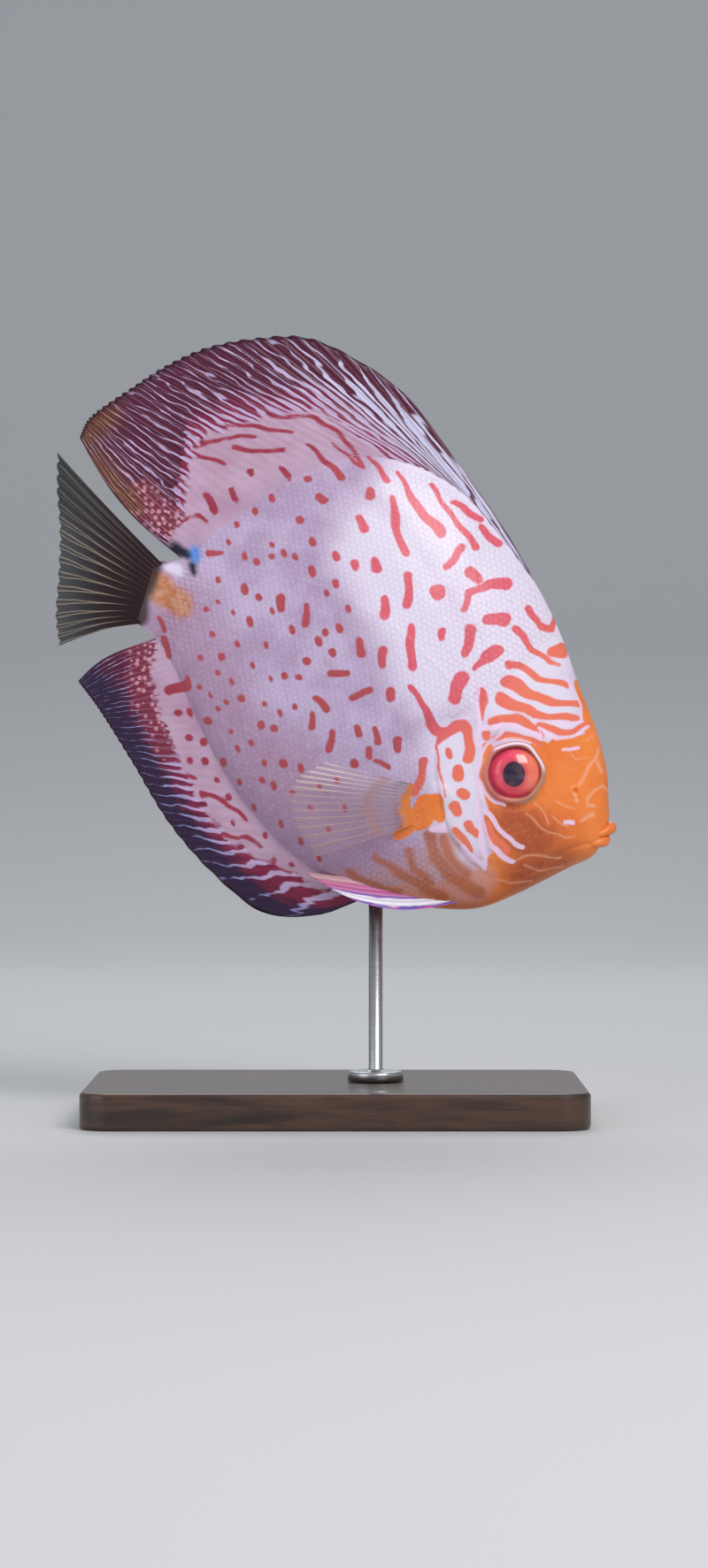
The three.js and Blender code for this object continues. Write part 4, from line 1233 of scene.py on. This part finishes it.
pelvic_material, tree, shader = plain_material("belly_fin", (0.6, 0.3, 0.5), 0.35)
n = Nodes(tree)
ray, _, waver, lane, _ = place_rays(n, (0.7, 5.0, 0.0), 1.2)
colour = n.mix(n.ramp(lane, 2.4, 3.4), (0.28, 0.16, 0.55), (0.62, 0.13, 0.36))
colour = n.mix(n.ramp(lane, 2.6, 2.2), colour, (0.90, 0.86, 0.96))
edging = n.mix(n.ramp(waver, 0.5, 0.58), (0.16, 0.07, 0.48), (0.62, 0.06, 0.36))
colour = n.mix(n.ramp(lane, 0.75, 0.55), colour, edging)
colour = n.mix(n.ramp(lane, 4.2, 5.4), colour, (0.70, 0.38, 0.42))
ribs = n.ramp(n.absolute(n.minus(n.fraction(ray), 0.5)), 0.3, 0.5)
n.put(shader, "Base Color", n.tint(ribs, 0.25, colour, (0.9, 0.75, 0.85)))
n.put(shader, "Normal", n.bump(ribs, 0.3, 0.0003))

for name, sign in (("right", -1.0), ("left", 1.0)):
    fold = membrane("belly_fin_" + name, PELVIC_GRID, pelvic_place, pelvic_material, PELVIC_RAYS, sign)
    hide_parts("pelvic_fin_" + name)


# The stand
# A plain base of dark stained wood with rounded corners and a small bevel, and one steel rod on a turned
# foot, which holds the fish up through its belly.
CORNER_RADIUS, CORNER_STEPS = 0.008, 12
TOP_BEVEL, BEVEL_STEPS = 0.0011, 4


def round_edges(bm, edges, radius, steps):
    bmesh.ops.bevel(bm, geom=edges, offset=radius, offset_type="OFFSET", segments=steps, profile=0.5,
                    affect="EDGES", material=-1)


low, high = (np.array(corner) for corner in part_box("stand_base"))
bm = bmesh.new()
bmesh.ops.create_cube(bm, size=1)
for vert in bm.verts:
    vert.co = (low + high) / 2 + np.array(vert.co) * (high - low)
upright = [edge for edge in bm.edges if abs(edge.verts[0].co.z - edge.verts[1].co.z) > 0.001]
round_edges(bm, upright, CORNER_RADIUS, CORNER_STEPS)
level = [edge for edge in bm.edges if abs(edge.verts[0].co.z - edge.verts[1].co.z) < 1e-6
         and len([face for face in edge.link_faces if abs(face.normal.z) > 0.9]) == 1]
round_edges(bm, level, TOP_BEVEL, BEVEL_STEPS)
wood_material, tree, shader = plain_material("dark_wood", (0.05, 0.025, 0.015), 0.38)
n = Nodes(tree)
grain = n.noise(n.here(Scale=(1.0, 9.0, 9.0)), 30, 5, 0.6, 0.6)
pores = n.noise(n.here(Scale=(1.0, 30.0, 30.0)), 90, 2, 0.5)
wood = n.mix(n.ramp(grain, 0.3, 0.7), (0.022, 0.010, 0.006), (0.085, 0.038, 0.020))
n.put(shader, "Base Color", n.mix(n.ramp(pores, 0.62, 0.75), wood, (0.012, 0.006, 0.004)))
n.put(shader, "Roughness", n.plus(0.3, n.times(grain, 0.2)))
n.put(shader, "Normal", n.bump(n.plus(grain, pores), 0.08, 0.0004))
shader.inputs["Coat Weight"].default_value = 0.25
base = object_from(bm, "base_plate", wood_material, smooth=False)
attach(base, "root")
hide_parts("stand_base")

low, high = (np.array(corner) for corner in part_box("stand_rod"))
rod_x = (low[0] + high[0]) / 2
FOOT_RADIUS = (high[0] - low[0]) / 2
FOOT_TOP = low[2] + 0.0024
ROD_RADIUS, FOOT_ROUND, FILLET = 0.00175, 0.0008, 0.0006
ROD_STEPS = 48
profile = [(0, low[2]), (FOOT_RADIUS, low[2]), (FOOT_RADIUS, FOOT_TOP - FOOT_ROUND)]
for turn in np.linspace(0.3, math.pi / 2, 5):
    inwards, down = FOOT_ROUND * (1 - math.cos(turn)), FOOT_ROUND * (1 - math.sin(turn))
    profile.append((FOOT_RADIUS - inwards, FOOT_TOP - down))
profile += [(ROD_RADIUS + FILLET, FOOT_TOP), (ROD_RADIUS, FOOT_TOP + FILLET)]
profile += [(ROD_RADIUS, high[2]), (0, high[2])]
bm = bmesh.new()
outline = [bm.verts.new((rod_x + radius, 0, height)) for radius, height in profile]
edges = [bm.edges.new(pair) for pair in zip(outline[:-1], outline[1:])]
bmesh.ops.spin(bm, geom=outline + edges, cent=(rod_x, 0, 0), axis=(0, 0, 1), angle=2 * math.pi,
               steps=ROD_STEPS, use_merge=True)
bmesh.ops.remove_doubles(bm, verts=bm.verts, dist=1e-6)
bmesh.ops.recalc_face_normals(bm, faces=bm.faces)
steel_material, tree, shader = plain_material("brushed_steel", (0.55, 0.56, 0.58), 0.3, 1.0)
n = Nodes(tree)
brushed = n.noise(n.here(Scale=(1.0, 1.0, 40.0)), 60, 3, 0.6)
n.put(shader, "Roughness", n.plus(0.22, n.times(brushed, 0.2)))
n.put(shader, "Base Color", n.mix(brushed, (0.48, 0.49, 0.51), (0.62, 0.63, 0.65)))
n.put(shader, "Normal", n.bump(brushed, 0.05, 0.0002))
rod = object_from(bm, "rod", steel_material)
for polygon in rod.data.polygons:
    polygon.use_smooth = abs(polygon.normal.z) < 0.9
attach(rod, "root")
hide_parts("stand_rod")
